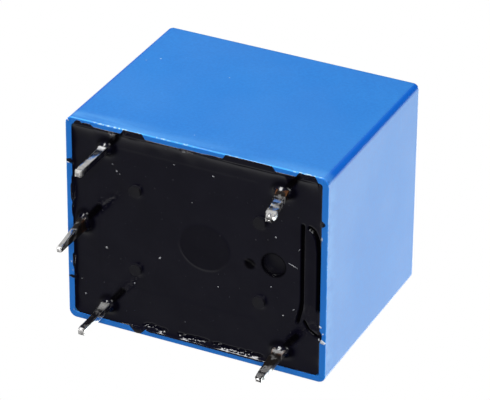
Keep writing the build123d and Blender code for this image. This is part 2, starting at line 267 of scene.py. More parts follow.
class SubAssembly:
    """A set of forms that is built and dressed as one piece."""

    def build(self) -> Piece:
        """Build the piece."""
        raise NotImplementedError

    def dress(self, piece: Piece, look: Look) -> None:
        """Dress the built piece in its finish."""
        dress(piece, look)

    def add(self, look: Look, slot: str) -> Piece:
        """Build and dress the piece, and let it ride on the housing.

        Args:
            look: The piece's finish.
            slot: The slot of the record that it stands for, which is only logged.

        Returns:
            The finished piece.
        """
        piece = self.build()
        self.dress(piece, look)
        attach(piece, HOUSING)
        log.info("%s: %d corners, slot %s", piece.name, len(piece.data.vertices), slot)
        return piece


class Graph:
    """A shader tree under construction."""

    def __init__(self, tree: Tree) -> None:
        """Keep the tree that the nodes go into."""
        self.tree = tree

    def add(self, kind: str, **settings: object) -> Node:
        """Add a node and set its plain properties.

        Args:
            kind: The node's type.
            **settings: Its properties by name.

        Returns:
            The new node.
        """
        node = self.tree.nodes.new(kind)
        for name, value in settings.items():
            setattr(node, name, value)
        return node

    def feed(self, socket: Socket, value: Feed) -> None:
        """Link an output to a socket, or set a constant on it.

        Args:
            socket: The input.
            value: An output or a constant.
        """
        if isinstance(value, Socket):
            self.tree.links.new(value, socket)
        else:
            socket.default_value = value

    def math(self, operation: str, first: Feed, second: Feed = 0.0, clamp: bool = False) -> Socket:
        """Work out one number from two.

        Args:
            operation: What is done with them.
            first: The first number.
            second: The second number.
            clamp: Whether to hold the result between 0 and 1.

        Returns:
            The output that holds it.
        """
        node = self.add("ShaderNodeMath", operation=operation, use_clamp=clamp)
        self.feed(node.inputs[0], first)
        self.feed(node.inputs[1], second)
        return node.outputs[0]

    def product(self, first: Feed, *others: Feed) -> Socket:
        """Multiply two values or more.

        Args:
            first: The first value.
            *others: The values that it is multiplied by.

        Returns:
            The output that holds it.
        """
        for other in others:
            first = self.math("MULTIPLY", first, other)
        return first

    def shift(self, value: Feed, *shifts: tuple[Feed, float]) -> Socket:
        """Shift a value by an amount under each mask.

        Args:
            value: The value to start from.
            *shifts: Each mask with its amount.

        Returns:
            The output that holds it.
        """
        for mask, amount in shifts:
            value = self.math("ADD", value, self.product(mask, amount))
        return value

    def dot(self, vector: Feed, direction: tuple[float, ...]) -> Socket:
        """How far a vector points in a direction.

        Args:
            vector: The vector.
            direction: The direction.

        Returns:
            The output that holds it.
        """
        node = self.add("ShaderNodeVectorMath", operation="DOT_PRODUCT")
        self.feed(node.inputs[0], vector)
        node.inputs[1].default_value = direction
        return node.outputs["Value"]

    def rise(self, value: Feed, low: Feed, high: Feed, bottom: Feed = 0.0, top: Feed = 1.0) -> Socket:
        """Map a value smoothly from one span to another, held at both ends.

        Args:
            value: The value.
            low: Where the span starts.
            high: Where it ends.
            bottom: The result at its start.
            top: The result at its end.

        Returns:
            The output that holds it.
        """
        node = self.add("ShaderNodeMapRange", interpolation_type="SMOOTHSTEP")
        for place, fed in enumerate((value, low, high, bottom, top)):
            self.feed(node.inputs[place], fed)
        return node.outputs[0]

    def noise(self, vector: Feed, scale: Feed, detail: float = 3.0, roughness: float = 0.55) -> Socket:
        """Sample soft noise at a vector.

        Args:
            vector: Where to sample it.
            scale: How fine it is.
            detail: Its octaves.
            roughness: The strength of the finer octaves.

        Returns:
            The output that holds it.
        """
        node = self.add("ShaderNodeTexNoise")
        self.feed(node.inputs["Vector"], vector)
        self.feed(node.inputs["Scale"], scale)
        node.inputs["Detail"].default_value = detail
        node.inputs["Roughness"].default_value = roughness
        return node.outputs["Fac"]

    def mix(self, factor: Feed, first: Feed, second: Feed) -> Socket:
        """Mix two colours.

        Args:
            factor: Share of the second colour.
            first: The first colour.
            second: The second colour.

        Returns:
            The output that holds it.
        """
        node = self.add("ShaderNodeMix", data_type="RGBA")
        self.feed(node.inputs["Factor"], factor)
        self.feed(node.inputs["A"], rgba(first) if isinstance(first, tuple) else first)
        self.feed(node.inputs["B"], rgba(second) if isinstance(second, tuple) else second)
        return node.outputs["Result"]

    def stretch(self, vector: Feed, turn: tuple[float, ...], scale: tuple[float, ...]) -> Socket:
        """Turn and scale a vector.

        Args:
            vector: The vector.
            turn: Its turn round each axis.
            scale: Its scale along each axis.

        Returns:
            The output that holds it.
        """
        node = self.add("ShaderNodeMapping")
        self.feed(node.inputs["Vector"], vector)
        node.inputs["Rotation"].default_value = turn
        node.inputs["Scale"].default_value = scale
        return node.outputs["Vector"]

    def bump(self, height: Feed, strength: float, distance: float) -> Socket:
        """Turn a height into a bumped normal.

        Args:
            height: The height.
            strength: How much of it shows.
            distance: How tall it is, in metres.

        Returns:
            The output that holds it.
        """
        node = self.add("ShaderNodeBump")
        node.inputs["Strength"].default_value = strength
        node.inputs["Distance"].default_value = distance
        self.feed(node.inputs["Height"], height)
        return node.outputs["Normal"]

    def values(self, name: str) -> Socket:
        """Read a number that the piece stores for each corner."""
        return self.add("ShaderNodeAttribute", attribute_name=name).outputs["Fac"]

    def place(self, group: Tree, **inputs: Feed) -> Node:
        """Place a node group and feed its named inputs.

        Args:
            group: The group's tree.
            **inputs: What feeds its inputs, by name.

        Returns:
            The group's node.
        """
        node = self.add("ShaderNodeGroup", node_tree=group)
        for name, value in inputs.items():
            self.feed(node.inputs[name], value)
        return node

    def rise_mm(self, value: Feed, low: float, high: float, bottom: float = 0.0, top: float = 1.0) -> Socket:
        """Map a place as rise does, between two places in millimetres."""
        return self.rise(value, low * MM, high * MM, bottom, top)

    def clouds(self, vector: Feed, scale: Feed, low: Feed, high: Feed) -> Socket:
        """Mask soft clouds."""
        return self.rise(self.noise(vector, scale, detail=4.0), low, high)

    def paint(self, body: Feed, *layers: tuple[Feed, Colour]) -> Socket:
        """Lay colours over a body colour, each under its mask.

        Args:
            body: The body colour.
            *layers: Each mask with its colour.

        Returns:
            The output that holds it.
        """
        for mask, colour in layers:
            body = self.mix(mask, body, colour)
        return body

    def mask(self, group: Tree, **inputs: Feed) -> Socket:
        """Place a node group and take its mask."""
        return self.place(group, **inputs).outputs["Mask"]

    def shade(self, **inputs: Feed) -> None:
        """Feed the material's main shader by its inputs' names, with _ for a space.

        Args:
            **inputs: What feeds each input.
        """
        shader = self.tree.nodes["Principled BSDF"]
        for name, value in inputs.items():
            self.feed(shader.inputs[name.replace("_", " ")], value)

    def choose(self, factor: Feed, first: Socket, second: Socket) -> Socket:
        """Mix two shaders.

        Args:
            factor: Share of the second shader.
            first: The first shader.
            second: The second shader.

        Returns:
            The output that holds it.
        """
        node = self.add("ShaderNodeMixShader")
        for place, fed in enumerate((factor, first, second)):
            self.feed(node.inputs[place], fed)
        return node.outputs[0]


def shader_group(name: str, inputs: dict[str, str], outputs: dict[str, str]) -> tuple[Graph, dict, dict]:
    """Start a shader node group.

    Args:
        name: Name of the group.
        inputs: Socket kind of each named input.
        outputs: Socket kind of each named output.

    Returns:
        The group's graph, its input sockets and its output sockets, by name.
    """
    tree = bpy.data.node_groups.new(name, "ShaderNodeTree")
    for direction, sockets in (("INPUT", inputs), ("OUTPUT", outputs)):
        for socket_name, kind in sockets.items():
            tree.interface.new_socket(socket_name, in_out=direction, socket_type="NodeSocket" + kind)
    graph = Graph(tree)
    start = graph.add("NodeGroupInput")
    end = graph.add("NodeGroupOutput")
    return graph, {n: start.outputs[n] for n in inputs}, {n: end.inputs[n] for n in outputs}


class Grower:
    """A Geometry Nodes tree with named inputs, grown on a piece and turned into its plain mesh."""

    def __init__(self, name: str, inputs: dict[str, str]) -> None:
        """Start the tree.

        Args:
            name: Name of the tree.
            inputs: Socket kind of each named input beside the geometry.
        """
        tree = bpy.data.node_groups.new(name, "GeometryNodeTree")
        tree.interface.new_socket("Geometry", in_out="INPUT", socket_type="NodeSocketGeometry")
        tree.interface.new_socket("Geometry", in_out="OUTPUT", socket_type="NodeSocketGeometry")
        for socket_name, kind in inputs.items():
            tree.interface.new_socket(socket_name, in_out="INPUT", socket_type="NodeSocket" + kind)
        self.graph = Graph(tree)
        self.given = self.graph.add("NodeGroupInput").outputs
        self.out = self.graph.add("NodeGroupOutput").inputs["Geometry"]

    def node(self, kind: str, settings: dict[str, object], **inputs: Feed) -> Node:
        """Add a node with its plain properties and feed its inputs by name.

        Args:
            kind: The node's type.
            settings: Its properties by name.
            **inputs: What feeds each input, with _ for a space in its name.

        Returns:
            The new node.
        """
        node = self.graph.add(kind, **settings)
        for name, value in inputs.items():
            self.graph.feed(node.inputs[name.replace("_", " ")], value)
        return node

    def close(self, grown: Socket) -> None:
        """Realize what has grown, give it the material input and end the tree.

        Args:
            grown: The geometry that has grown.
        """
        real = self.node("GeometryNodeRealizeInstances", {}, Geometry=grown)
        dressed = self.node(
            "GeometryNodeSetMaterial", {},
            Geometry=real.outputs["Geometry"], Material=self.given["Material"],
        )
        self.graph.feed(self.out, dressed.outputs["Geometry"])

    def grow(self, piece: Piece, values: dict[str, object]) -> Piece:
        """Run the tree on a piece.

        Args:
            piece: Carries the tree's first geometry.
            values: The value of each named input.

        Returns:
            The same piece with the grown mesh in place of its own.
        """
        modifier = piece.modifiers.new("grown", "NODES")
        modifier.node_group = self.graph.tree
        for item in self.graph.tree.interface.items_tree:
            if item.in_out == "INPUT" and item.name in values:
                modifier[item.identifier] = values[item.name]
        view = bpy.context.evaluated_depsgraph_get()
        mesh = bpy.data.meshes.new_from_object(piece.evaluated_get(view), depsgraph=view)
        piece.modifiers.remove(modifier)
        piece.data = mesh
        mesh.name = piece.name
        return piece


@dataclass
class Effects:
    """The surface effects that more than one finish uses, each a shader node group built once."""

    mottle: Tree = field(init=False)
    grain: Tree = field(init=False)
    scuffs: Tree = field(init=False)
    specks: Tree = field(init=False)

    def __post_init__(self) -> None:
        """Build the groups."""
        self.mottle = self._mottle()
        self.grain = self._grain()
        self.scuffs = self._scuffs()
        self.specks = self._specks()

    @staticmethod
    def _mottle() -> Tree:
        """Broad soft clouds over a surface.

        Returns:
            The group's tree.
        """
        graph, given, out = shader_group(
            "soft_mottle",
            {"Vector": "Vector", "Scale": "Float", "Low": "Float", "High": "Float"},
            {"Mask": "Float"},
        )
        clouds = graph.clouds(given["Vector"], given["Scale"], given["Low"], given["High"])
        graph.feed(out["Mask"], clouds)
        return graph.tree

    @staticmethod
    def _grain() -> Tree:
        """Fine moulded grain, as a height and as a shift of roughness.

        Returns:
            The group's tree.
        """
        graph, given, out = shader_group(
            "fine_grain",
            {"Vector": "Vector", "Scale": "Float", "Shift": "Float"},
            {"Height": "Float", "Shift": "Float"},
        )
        fine = graph.noise(given["Vector"], given["Scale"], detail=5.0, roughness=0.6)
        graph.feed(out["Height"], fine)
        centred = graph.math("SUBTRACT", fine, 0.5)
        graph.feed(out["Shift"], graph.product(centred, given["Shift"]))
        return graph.tree

    @staticmethod
    def _scuffs() -> Tree:
        """Thin handling scratches that run two ways.

        Returns:
            The group's tree.
        """
        graph, given, out = shader_group(
            "hair_scuffs",
            {"Vector": "Vector", "Scale": "Float", "Amount": "Float"},
            {"Mask": "Float"},
        )
        found = None
        for turn, scale in (((0.3, 0.2, 0.5), (1.0, 0.03, 1.0)), ((0.2, 0.4, -0.6), (0.04, 1.0, 1.0))):
            lines = graph.noise(graph.stretch(given["Vector"], turn, scale), given["Scale"], detail=2.0)
            mask = graph.rise(lines, 0.69, 0.74)
            found = mask if found is None else graph.math("MAXIMUM", found, mask)
        patches = graph.rise(graph.noise(given["Vector"], 260.0, detail=2.0), 0.45, 0.7)
        graph.feed(out["Mask"], graph.product(found, patches, given["Amount"]))
        return graph.tree

    @staticmethod
    def _specks() -> Tree:
        """Sparse round specks of dust.

        Returns:
            The group's tree.
        """
        graph, given, out = shader_group(
            "dust_specks",
            {"Vector": "Vector", "Scale": "Float", "Size": "Float", "Share": "Float"},
            {"Mask": "Float"},
        )
        cells = graph.add("ShaderNodeTexVoronoi")
        graph.feed(cells.inputs["Vector"], given["Vector"])
        graph.feed(cells.inputs["Scale"], given["Scale"])
        dot = graph.math("LESS_THAN", cells.outputs["Distance"], given["Size"])
        split = graph.add("ShaderNodeSeparateColor")
        graph.feed(split.inputs["Color"], cells.outputs["Color"])
        kept = graph.math("LESS_THAN", split.outputs["Red"], given["Share"])
        graph.feed(out["Mask"], graph.product(dot, kept))
        return graph.tree


@dataclass(frozen=True)
class Finish:
    """A surface finish. Its subclasses add what their material shows."""

    name: str
    colour: Colour
    roughness: float

    def start(self) -> tuple[Look, Graph, Socket]:
        """Make an empty material.

        Returns:
            The material, its graph and the Object coordinates.
        """
        material = bpy.data.materials.new(self.name)
        material.use_nodes = True
        graph = Graph(material.node_tree)
        return material, graph, graph.add("ShaderNodeTexCoord").outputs["Object"]


@dataclass(frozen=True)
class CoverPlastic(Finish):
    """Blue moulded plastic with fine grain, handling scuffs and a worn rim edge, with painted shade on the
    ridges, painted light on the rim's end face, a painted sheen band beside the rim and a painted highlight
    along the worn edge.
    """

    cloud_colour: Colour = (0.014, 0.196, 0.600)
    # Painted shade on the rounded vertical edges.
    ridge_shade_colour: Colour = (0.003, 0.118, 0.60)
    # Real scuffs, and the painted sheen band beside the rim.
    scuff_and_sheen_colour: Colour = (0.10, 0.36, 0.78)
    # Painted light on the rim's end face.
    rim_light_colour: Colour = (0.020, 0.28, 1.0)
    # The rubbed outer edge: real wear with a painted highlight along it.
    worn_and_highlight_colour: Colour = (0.045, 0.40, 1.0)
    chip_colour: Colour = (0.46, 0.74, 1.0)
    dust_colour: Colour = (0.55, 0.62, 0.72)
    half_length: float = 9.575
    half_width: float = 7.75
    rim_z: float = 0.15
    rim_face: Span = (0.06, 0.01)
    edge_inset: Span = (0.10, 0.03)
    edge_height: Span = (0.13, 0.05)
    near_wall: Span = (-7.0, -7.5)
    far_wear_and_highlight: float = 0.35
    # The band beside the rim is a painted sheen.
    sheen_band_width: float = 1.7
    sheen_band_end: Span = (-2.0, -9.0)
    sheen_band_shares: Span = (0.45, 0.95)
    ridge_width: float = 0.55
    ridge_full: float = 0.6
    least_gloss: float = 0.41
    more_gloss: float = 0.18

    def material(self, effects: Effects) -> Look:
        """Build the material from the shared effects.

        Args:
            effects: The shared effects.

        Returns:
            The new material.
        """
        material, graph, where = self.start()
        clouds = graph.mask(effects.mottle, Vector=where, Scale=190.0, Low=0.35, High=0.72)
        grain = graph.place(effects.grain, Vector=where, Scale=5200.0, Shift=0.16).outputs
        scuffs = graph.mask(effects.scuffs, Vector=where, Scale=1500.0, Amount=0.22)
        dust = graph.mask(effects.specks, Vector=where, Scale=1300.0, Size=0.075, Share=0.05)
        gloss = graph.clouds(where, 135.0, 0.34, 0.66)
        rim, band, edge, chips, ridge = self._wear_and_painted_light(graph, where)
        fine = graph.rise(grain["Height"], 0.36, 0.64, -0.2, 0.7)
        tone = graph.math("ADD", graph.product(clouds, 0.4), fine, clamp=True)
        # Painted light and shade: the ridge layer is painted shade, the band a painted sheen, the rim layer
        # painted light and the edge layer wear with a painted highlight.
        body = graph.paint(
            self.colour,
            (tone, self.cloud_colour),
            (graph.product(ridge, 0.9), self.ridge_shade_colour),
            (scuffs, self.scuff_and_sheen_colour),
            (band, self.scuff_and_sheen_colour),
            (rim, self.rim_light_colour),
            (edge, self.worn_and_highlight_colour),
            (chips, self.chip_colour),
            (graph.product(dust, 0.6), self.dust_colour),
        )
        rough = graph.math("ADD", self.roughness, grain["Shift"])
        graph.shade(
            Base_Color=body,
            Roughness=graph.shift(rough, (scuffs, 0.2), (ridge, -0.18), (edge, 0.30)),
            Normal=graph.bump(grain["Height"], 0.14, GRAIN_DEPTH),
            Specular_IOR_Level=graph.shift(self.least_gloss, (gloss, self.more_gloss)),
            IOR=1.5,
        )
        return material

    def _wear_and_painted_light(self, graph: Graph, where: Socket) -> tuple[Socket, ...]:
        """Mask the rim's end face, which gets painted light as if light shone through it, the wear and the
        painted sheen near it, and the ridges, which get painted shade.

        Args:
            graph: The material's graph.
            where: Object coordinates.

        Returns:
            The masks of the end face's painted light, the band of painted sheen beside it, the rubbed outer
            edge with its painted highlight, its chips and the ridges' painted shade.
        """
        split = graph.add("ShaderNodeSeparateXYZ")
        graph.feed(split.inputs["Vector"], where)
        x, y, z = (split.outputs[axis] for axis in "XYZ")
        from_end = graph.math("SUBTRACT", self.half_length * MM, graph.math("ABSOLUTE", x))
        from_side = graph.math("SUBTRACT", self.half_width * MM, graph.math("ABSOLUTE", y))
        on_edge = graph.rise_mm(graph.math("MINIMUM", from_end, from_side), *self.edge_inset)
        # The rim's end face gets painted light, and the band beside it a painted sheen.
        rim, low, beside = (
            graph.rise_mm(z, self.rim_z + start, self.rim_z + full)
            for start, full in (self.rim_face, self.edge_height, (self.sheen_band_width, 0.0))
        )
        # The rubbed outer edge: wear with a painted highlight, full on the near wall and weaker elsewhere.
        edge = graph.product(on_edge, low, graph.rise_mm(y, *self.near_wall, self.far_wear_and_highlight, 1.0))
        rubbed = graph.clouds(where, 700.0, 0.30, 0.55)
        ragged = graph.rise(graph.noise(where, 3800.0, detail=5.0, roughness=0.7), 0.49, 0.57)
        clusters = graph.rise(graph.noise(where, 420.0, detail=2.0), 0.40, 0.58)
        haze = graph.clouds(graph.stretch(where, UNTURNED, (0.12, 1.0, 1.0)), 900.0, 0.34, 0.66)
        # A painted sheen in a streaky band beside the rim, fading along x.
        band = graph.product(beside, haze, graph.rise_mm(x, *self.sheen_band_end, *self.sheen_band_shares))
        # The ridges, the rounded vertical edges, get painted shade.
        full_ridge = self.ridge_full * self.ridge_width
        at_end = graph.rise_mm(from_end, self.ridge_width, full_ridge)
        at_side = graph.rise_mm(from_side, self.ridge_width, full_ridge)
        chips = graph.product(ragged, clusters, edge)
        return rim, band, graph.product(edge, rubbed), chips, graph.product(at_end, at_side)


@dataclass(frozen=True)
class SealingResin(Finish):
    """Black cast resin: glossy, a little clouded, with fine dust stuck to it, and painted shade that darkens
    it and dulls its mirror where the piece stores it.
    """

    haze_colour: Colour = (0.0046, 0.0041, 0.0132)
    dust_colour: Colour = (0.075, 0.075, 0.085)
    # Painted shade: a darker colour and less mirror where the resin stores painted shade.
    painted_shade_colour: Colour = (0.0018, 0.0015, 0.0022)
    gloss: float = 0.5
    painted_shade_dulling: float = -0.46
    has_painted_shade: bool = False

    def material(self, effects: Effects) -> Look:
        """Build the material from the shared effects.

        Args:
            effects: The shared effects.

        Returns:
            The new material.
        """
        material, graph, where = self.start()
        haze = graph.mask(effects.mottle, Vector=where, Scale=420.0, Low=0.3, High=0.7)
        grain = graph.place(effects.grain, Vector=where, Scale=4200.0, Shift=0.14).outputs
        dust = graph.mask(effects.specks, Vector=where, Scale=2300.0, Size=0.10, Share=0.04)
        layers = [(haze, self.haze_colour), (graph.product(dust, 0.7), self.dust_colour)]
        # Painted shade darkens the resin and dulls its mirror in the furrows, dent, vent lip, gate edge,
        # collars and the pins' dark reflections.
        if self.has_painted_shade:
            painted_shade = graph.values("painted_shade")
            layers.append((painted_shade, self.painted_shade_colour))
            graph.shade(Specular_IOR_Level=graph.shift(self.gloss, (painted_shade, self.painted_shade_dulling)))
        rough = graph.math("ADD", self.roughness, grain["Shift"])
        graph.shade(
            Base_Color=graph.paint(self.colour, *layers),
            Roughness=graph.shift(rough, (haze, 0.06)),
            Normal=graph.bump(grain["Height"], 0.05, GRAIN_DEPTH),
            IOR=1.52,
        )
        return material


@dataclass(frozen=True)
class TinnedMetal(Finish):
    """Solder-coated metal, stained where it is old and bare copper where the coat broke off."""

    bright_colour: Colour = (0.82, 0.81, 0.80)
    stain_colour: Colour = (0.013, 0.0105, 0.0095)
    copper_colour: Colour = (0.46, 0.17, 0.055)
    cloud_scale: float = 1500.0
    cloud_span: Span = (0.36, 0.66)
    stain_gain: float = 1.5
    stain_span: Span = (-0.15, 0.75)
    gloss: float = 0.5
    stain_dulling: float = -0.30

    def material(self, effects: Effects) -> Look:
        """Build the material from the shared effects and the coat's stored values.

        Args:
            effects: The shared effects.

        Returns:
            The new material.
        """
        material, graph, where = self.start()
        low, high = self.cloud_span
        clouds = graph.mask(effects.mottle, Vector=where, Scale=self.cloud_scale, Low=low, High=high)
        grain = graph.place(effects.grain, Vector=where, Scale=6500.0, Shift=0.12).outputs
        scuffs = graph.mask(effects.scuffs, Vector=where, Scale=3600.0, Amount=0.5)
        bare, matte, frost = (graph.values(name) for name in ("bare", "matte", "frost"))
        stained = self._stained(graph, clouds)
        dulled = self._stained(graph, graph.clouds(where, self.cloud_scale, low, high))
        body = graph.paint(
            self.colour,
            (clouds, self.bright_colour),
            (scuffs, self.bright_colour),
            (stained, self.stain_colour),
            (bare, self.copper_colour),
        )
        rough = graph.math("ADD", self.roughness, grain["Shift"])
        crust = graph.product(stained, 0.85)
        for mask, share in ((bare, 0.7), (frost, 0.75)):
            crust = graph.math("MAXIMUM", crust, graph.product(mask, share))
        graph.shade(
            Base_Color=body,
            Roughness=graph.shift(rough, (stained, 0.14), (matte, 0.28), (frost, 0.30)),
            Normal=graph.bump(grain["Height"], 0.10, GRAIN_DEPTH),
            Metallic=graph.math("SUBTRACT", 1.0, crust),
            Specular_IOR_Level=graph.shift(self.gloss, (dulled, self.stain_dulling)),
        )
        return material

    def _stained(self, graph: Graph, clouds: Socket) -> Socket:
        """Break the stored stain up by clouds."""
        stain = graph.product(graph.values("tarnish"), self.stain_gain)
        return graph.rise(graph.math("SUBTRACT", stain, clouds), *self.stain_span)


@dataclass(frozen=True)
class TwoTone(Finish):
    """Two close tones in soft clouds under a fine grain. Its subclasses say how fine both are."""

    tone_colour: Colour = (0.5, 0.5, 0.5)
    cloud_scale: float = 350.0
    cloud_span: Span = (0.3, 0.7)
    rolled: tuple[float, ...] = ()
    grain_scale: float = 5200.0
    grain_shift: float = 0.2
    relief: float = 0.2
    metallic: float = 0.0

    def material(self, effects: Effects) -> Look:
        """Build the material from the shared effects.

        Args:
            effects: The shared effects.

        Returns:
            The new material.
        """
        material, graph, where = self.start()
        along = graph.stretch(where, UNTURNED, self.rolled) if self.rolled else where
        low, high = self.cloud_span
        clouds = graph.mask(effects.mottle, Vector=along, Scale=self.cloud_scale, Low=low, High=high)
        grained = graph.place(effects.grain, Vector=where, Scale=self.grain_scale, Shift=self.grain_shift)
        grain = grained.outputs
        graph.shade(
            Base_Color=graph.mix(clouds, self.colour, self.tone_colour),
            Roughness=graph.math("ADD", self.roughness, grain["Shift"]),
            Metallic=self.metallic,
        )
        if self.relief:
            graph.shade(Normal=graph.bump(grain["Height"], self.relief, GRAIN_DEPTH))
        return material


@dataclass(frozen=True)
class InnerMetal(TwoTone):
    """Plated or rolled metal inside the cover."""

    cloud_scale: float = 2600.0
    cloud_span: Span = (0.35, 0.68)
    rolled: tuple[float, ...] = (1.0, 0.05, 1.0)
    grain_scale: float = 5000.0
    grain_shift: float = 0.14
    relief: float = 0.12
    metallic: float = 1.0


@dataclass(frozen=True)
class InnerPlastic(TwoTone):
    """Moulded plastic inside the cover."""


@dataclass(frozen=True)
class Fleck(TwoTone):
    """Pale dust, lint and chipped plastic."""

    cloud_scale: float = 2600.0
    grain_scale: float = 9000.0
    relief: float = 0.0


@dataclass
class Pin:
    """The outer end of one terminal as the frame has it, in millimetres."""

    node: str
    bend_z: float = 0.30
    level: float = 0.01
    shoulder: float = 0.12
    halvings: int = 16
    root: Array = field(init=False)
    tip: Array = field(init=False)
    half: Array = field(init=False)
    tip_half: Array = field(init=False)

    def __post_init__(self) -> None:
        """Read the pin's section where it leaves the resin, and its section and middle at the tip."""
        points = np.array([v.co for v in frame["nodes"][self.node].data.vertices]) / MM
        section = points[np.abs(points[:, 2] - self.bend_z) < self.level]
        lowest = points[:, 2].min()
        end = points[points[:, 2] < lowest + self.level]
        shoulder = points[points[:, 2] < lowest + self.shoulder]
        self.root = (section.min(0) + section.max(0)) / 2
        self.tip = (end.min(0) + end.max(0)) / 2
        self.half = (section.max(0) - section.min(0))[:2] / 2
        self.tip_half = (shoulder.max(0) - shoulder.min(0))[:2] / 2

    def distance(self, x: Array, y: Array) -> Array:
        """Distance of points on the resin from the ellipse in the pin's section, 0 inside it.

        Args:
            x: First coordinates in millimetres.
            y: Second coordinates in millimetres.

        Returns:
            The distance of each point in millimetres.
        """
        dx, dy = np.abs(x - self.root[0]), np.abs(y - self.root[1])
        low = np.zeros(np.shape(x))
        high = np.hypot(dx, dy)
        for _ in range(self.halvings):
            middle = (low + high) / 2
            outside = (dx / (self.half[0] + middle)) ** 2 + (dy / (self.half[1] + middle)) ** 2 > 1.0
            low = np.where(outside, middle, low)
            high = np.where(outside, high, middle)
        return (low + high) / 2


@dataclass(frozen=True)
class Spill:
    """A stretch of the rim that resin ran over, in millimetres along its wall."""

    side: Side
    start: float
    end: float
    reach: float
    ramp: float = 0.22


@dataclass(frozen=True)
class Furrow:
    """A narrow furrow in the resin that follows a few points."""

    path: tuple[tuple[float, float], ...]
    width: float
    depth: float
    floor_share: float = 0.25
    # Share of the furrow's width that gets painted shade.
    dull_share: float = 0.7

    def distance(self, x: Array, y: Array) -> Array:
        """Distance of points on the resin from the furrow's line.

        Args:
            x: First coordinates in millimetres.
            y: Second coordinates in millimetres.

        Returns:
            The distance of each point in millimetres.
        """
        nearest = np.full(np.shape(x), 1e9)
        for (ax, ay), (bx, by) in zip(self.path, self.path[1:]):
            dx, dy = bx - ax, by - ay
            along = np.clip(((x - ax) * dx + (y - ay) * dy) / (dx * dx + dy * dy), 0.0, 1.0)
            nearest = np.minimum(nearest, np.hypot(x - ax - along * dx, y - ay - along * dy))
        return nearest


@dataclass(frozen=True)
class Meniscus:
    """How the resin climbs one wall: the width of its slope and the share of it that is steep."""

    side: Side
    width: float
    steep: float = 0.0


@dataclass(frozen=True)
class SoftPatch:
    """A raised or sunk patch of the resin, with the start and the end of the slope at each edge."""

    x_edges: tuple[Span, Span]
    y_edges: tuple[Span, Span]
    rise: float

    def height(self, x: Array, y: Array) -> Array:
        """Height of the patch at points on the resin."""
        across = smooth(*self.x_edges[0], x) * smooth(*self.x_edges[1], x)
        return self.rise * (across * smooth(*self.y_edges[0], y) * smooth(*self.y_edges[1], y))


@dataclass(frozen=True)
class Mound:
    """An oval bump of the resin, or a dent where its rise is below zero."""

    centre: Span
    size: Span
    rise: float
    turn: float = 0.0

    def height(self, x: Array, y: Array) -> Array:
        """Height of the mound at points on the resin.

        Args:
            x: First coordinates in millimetres.
            y: Second coordinates in millimetres.

        Returns:
            The height at each place, in millimetres.
        """
        turn = math.radians(self.turn)
        dx, dy = x - self.centre[0], y - self.centre[1]
        along = dx * math.cos(turn) + dy * math.sin(turn)
        across = dy * math.cos(turn) - dx * math.sin(turn)
        return self.rise * np.exp(-((along / self.size[0]) ** 2 + (across / self.size[1]) ** 2))


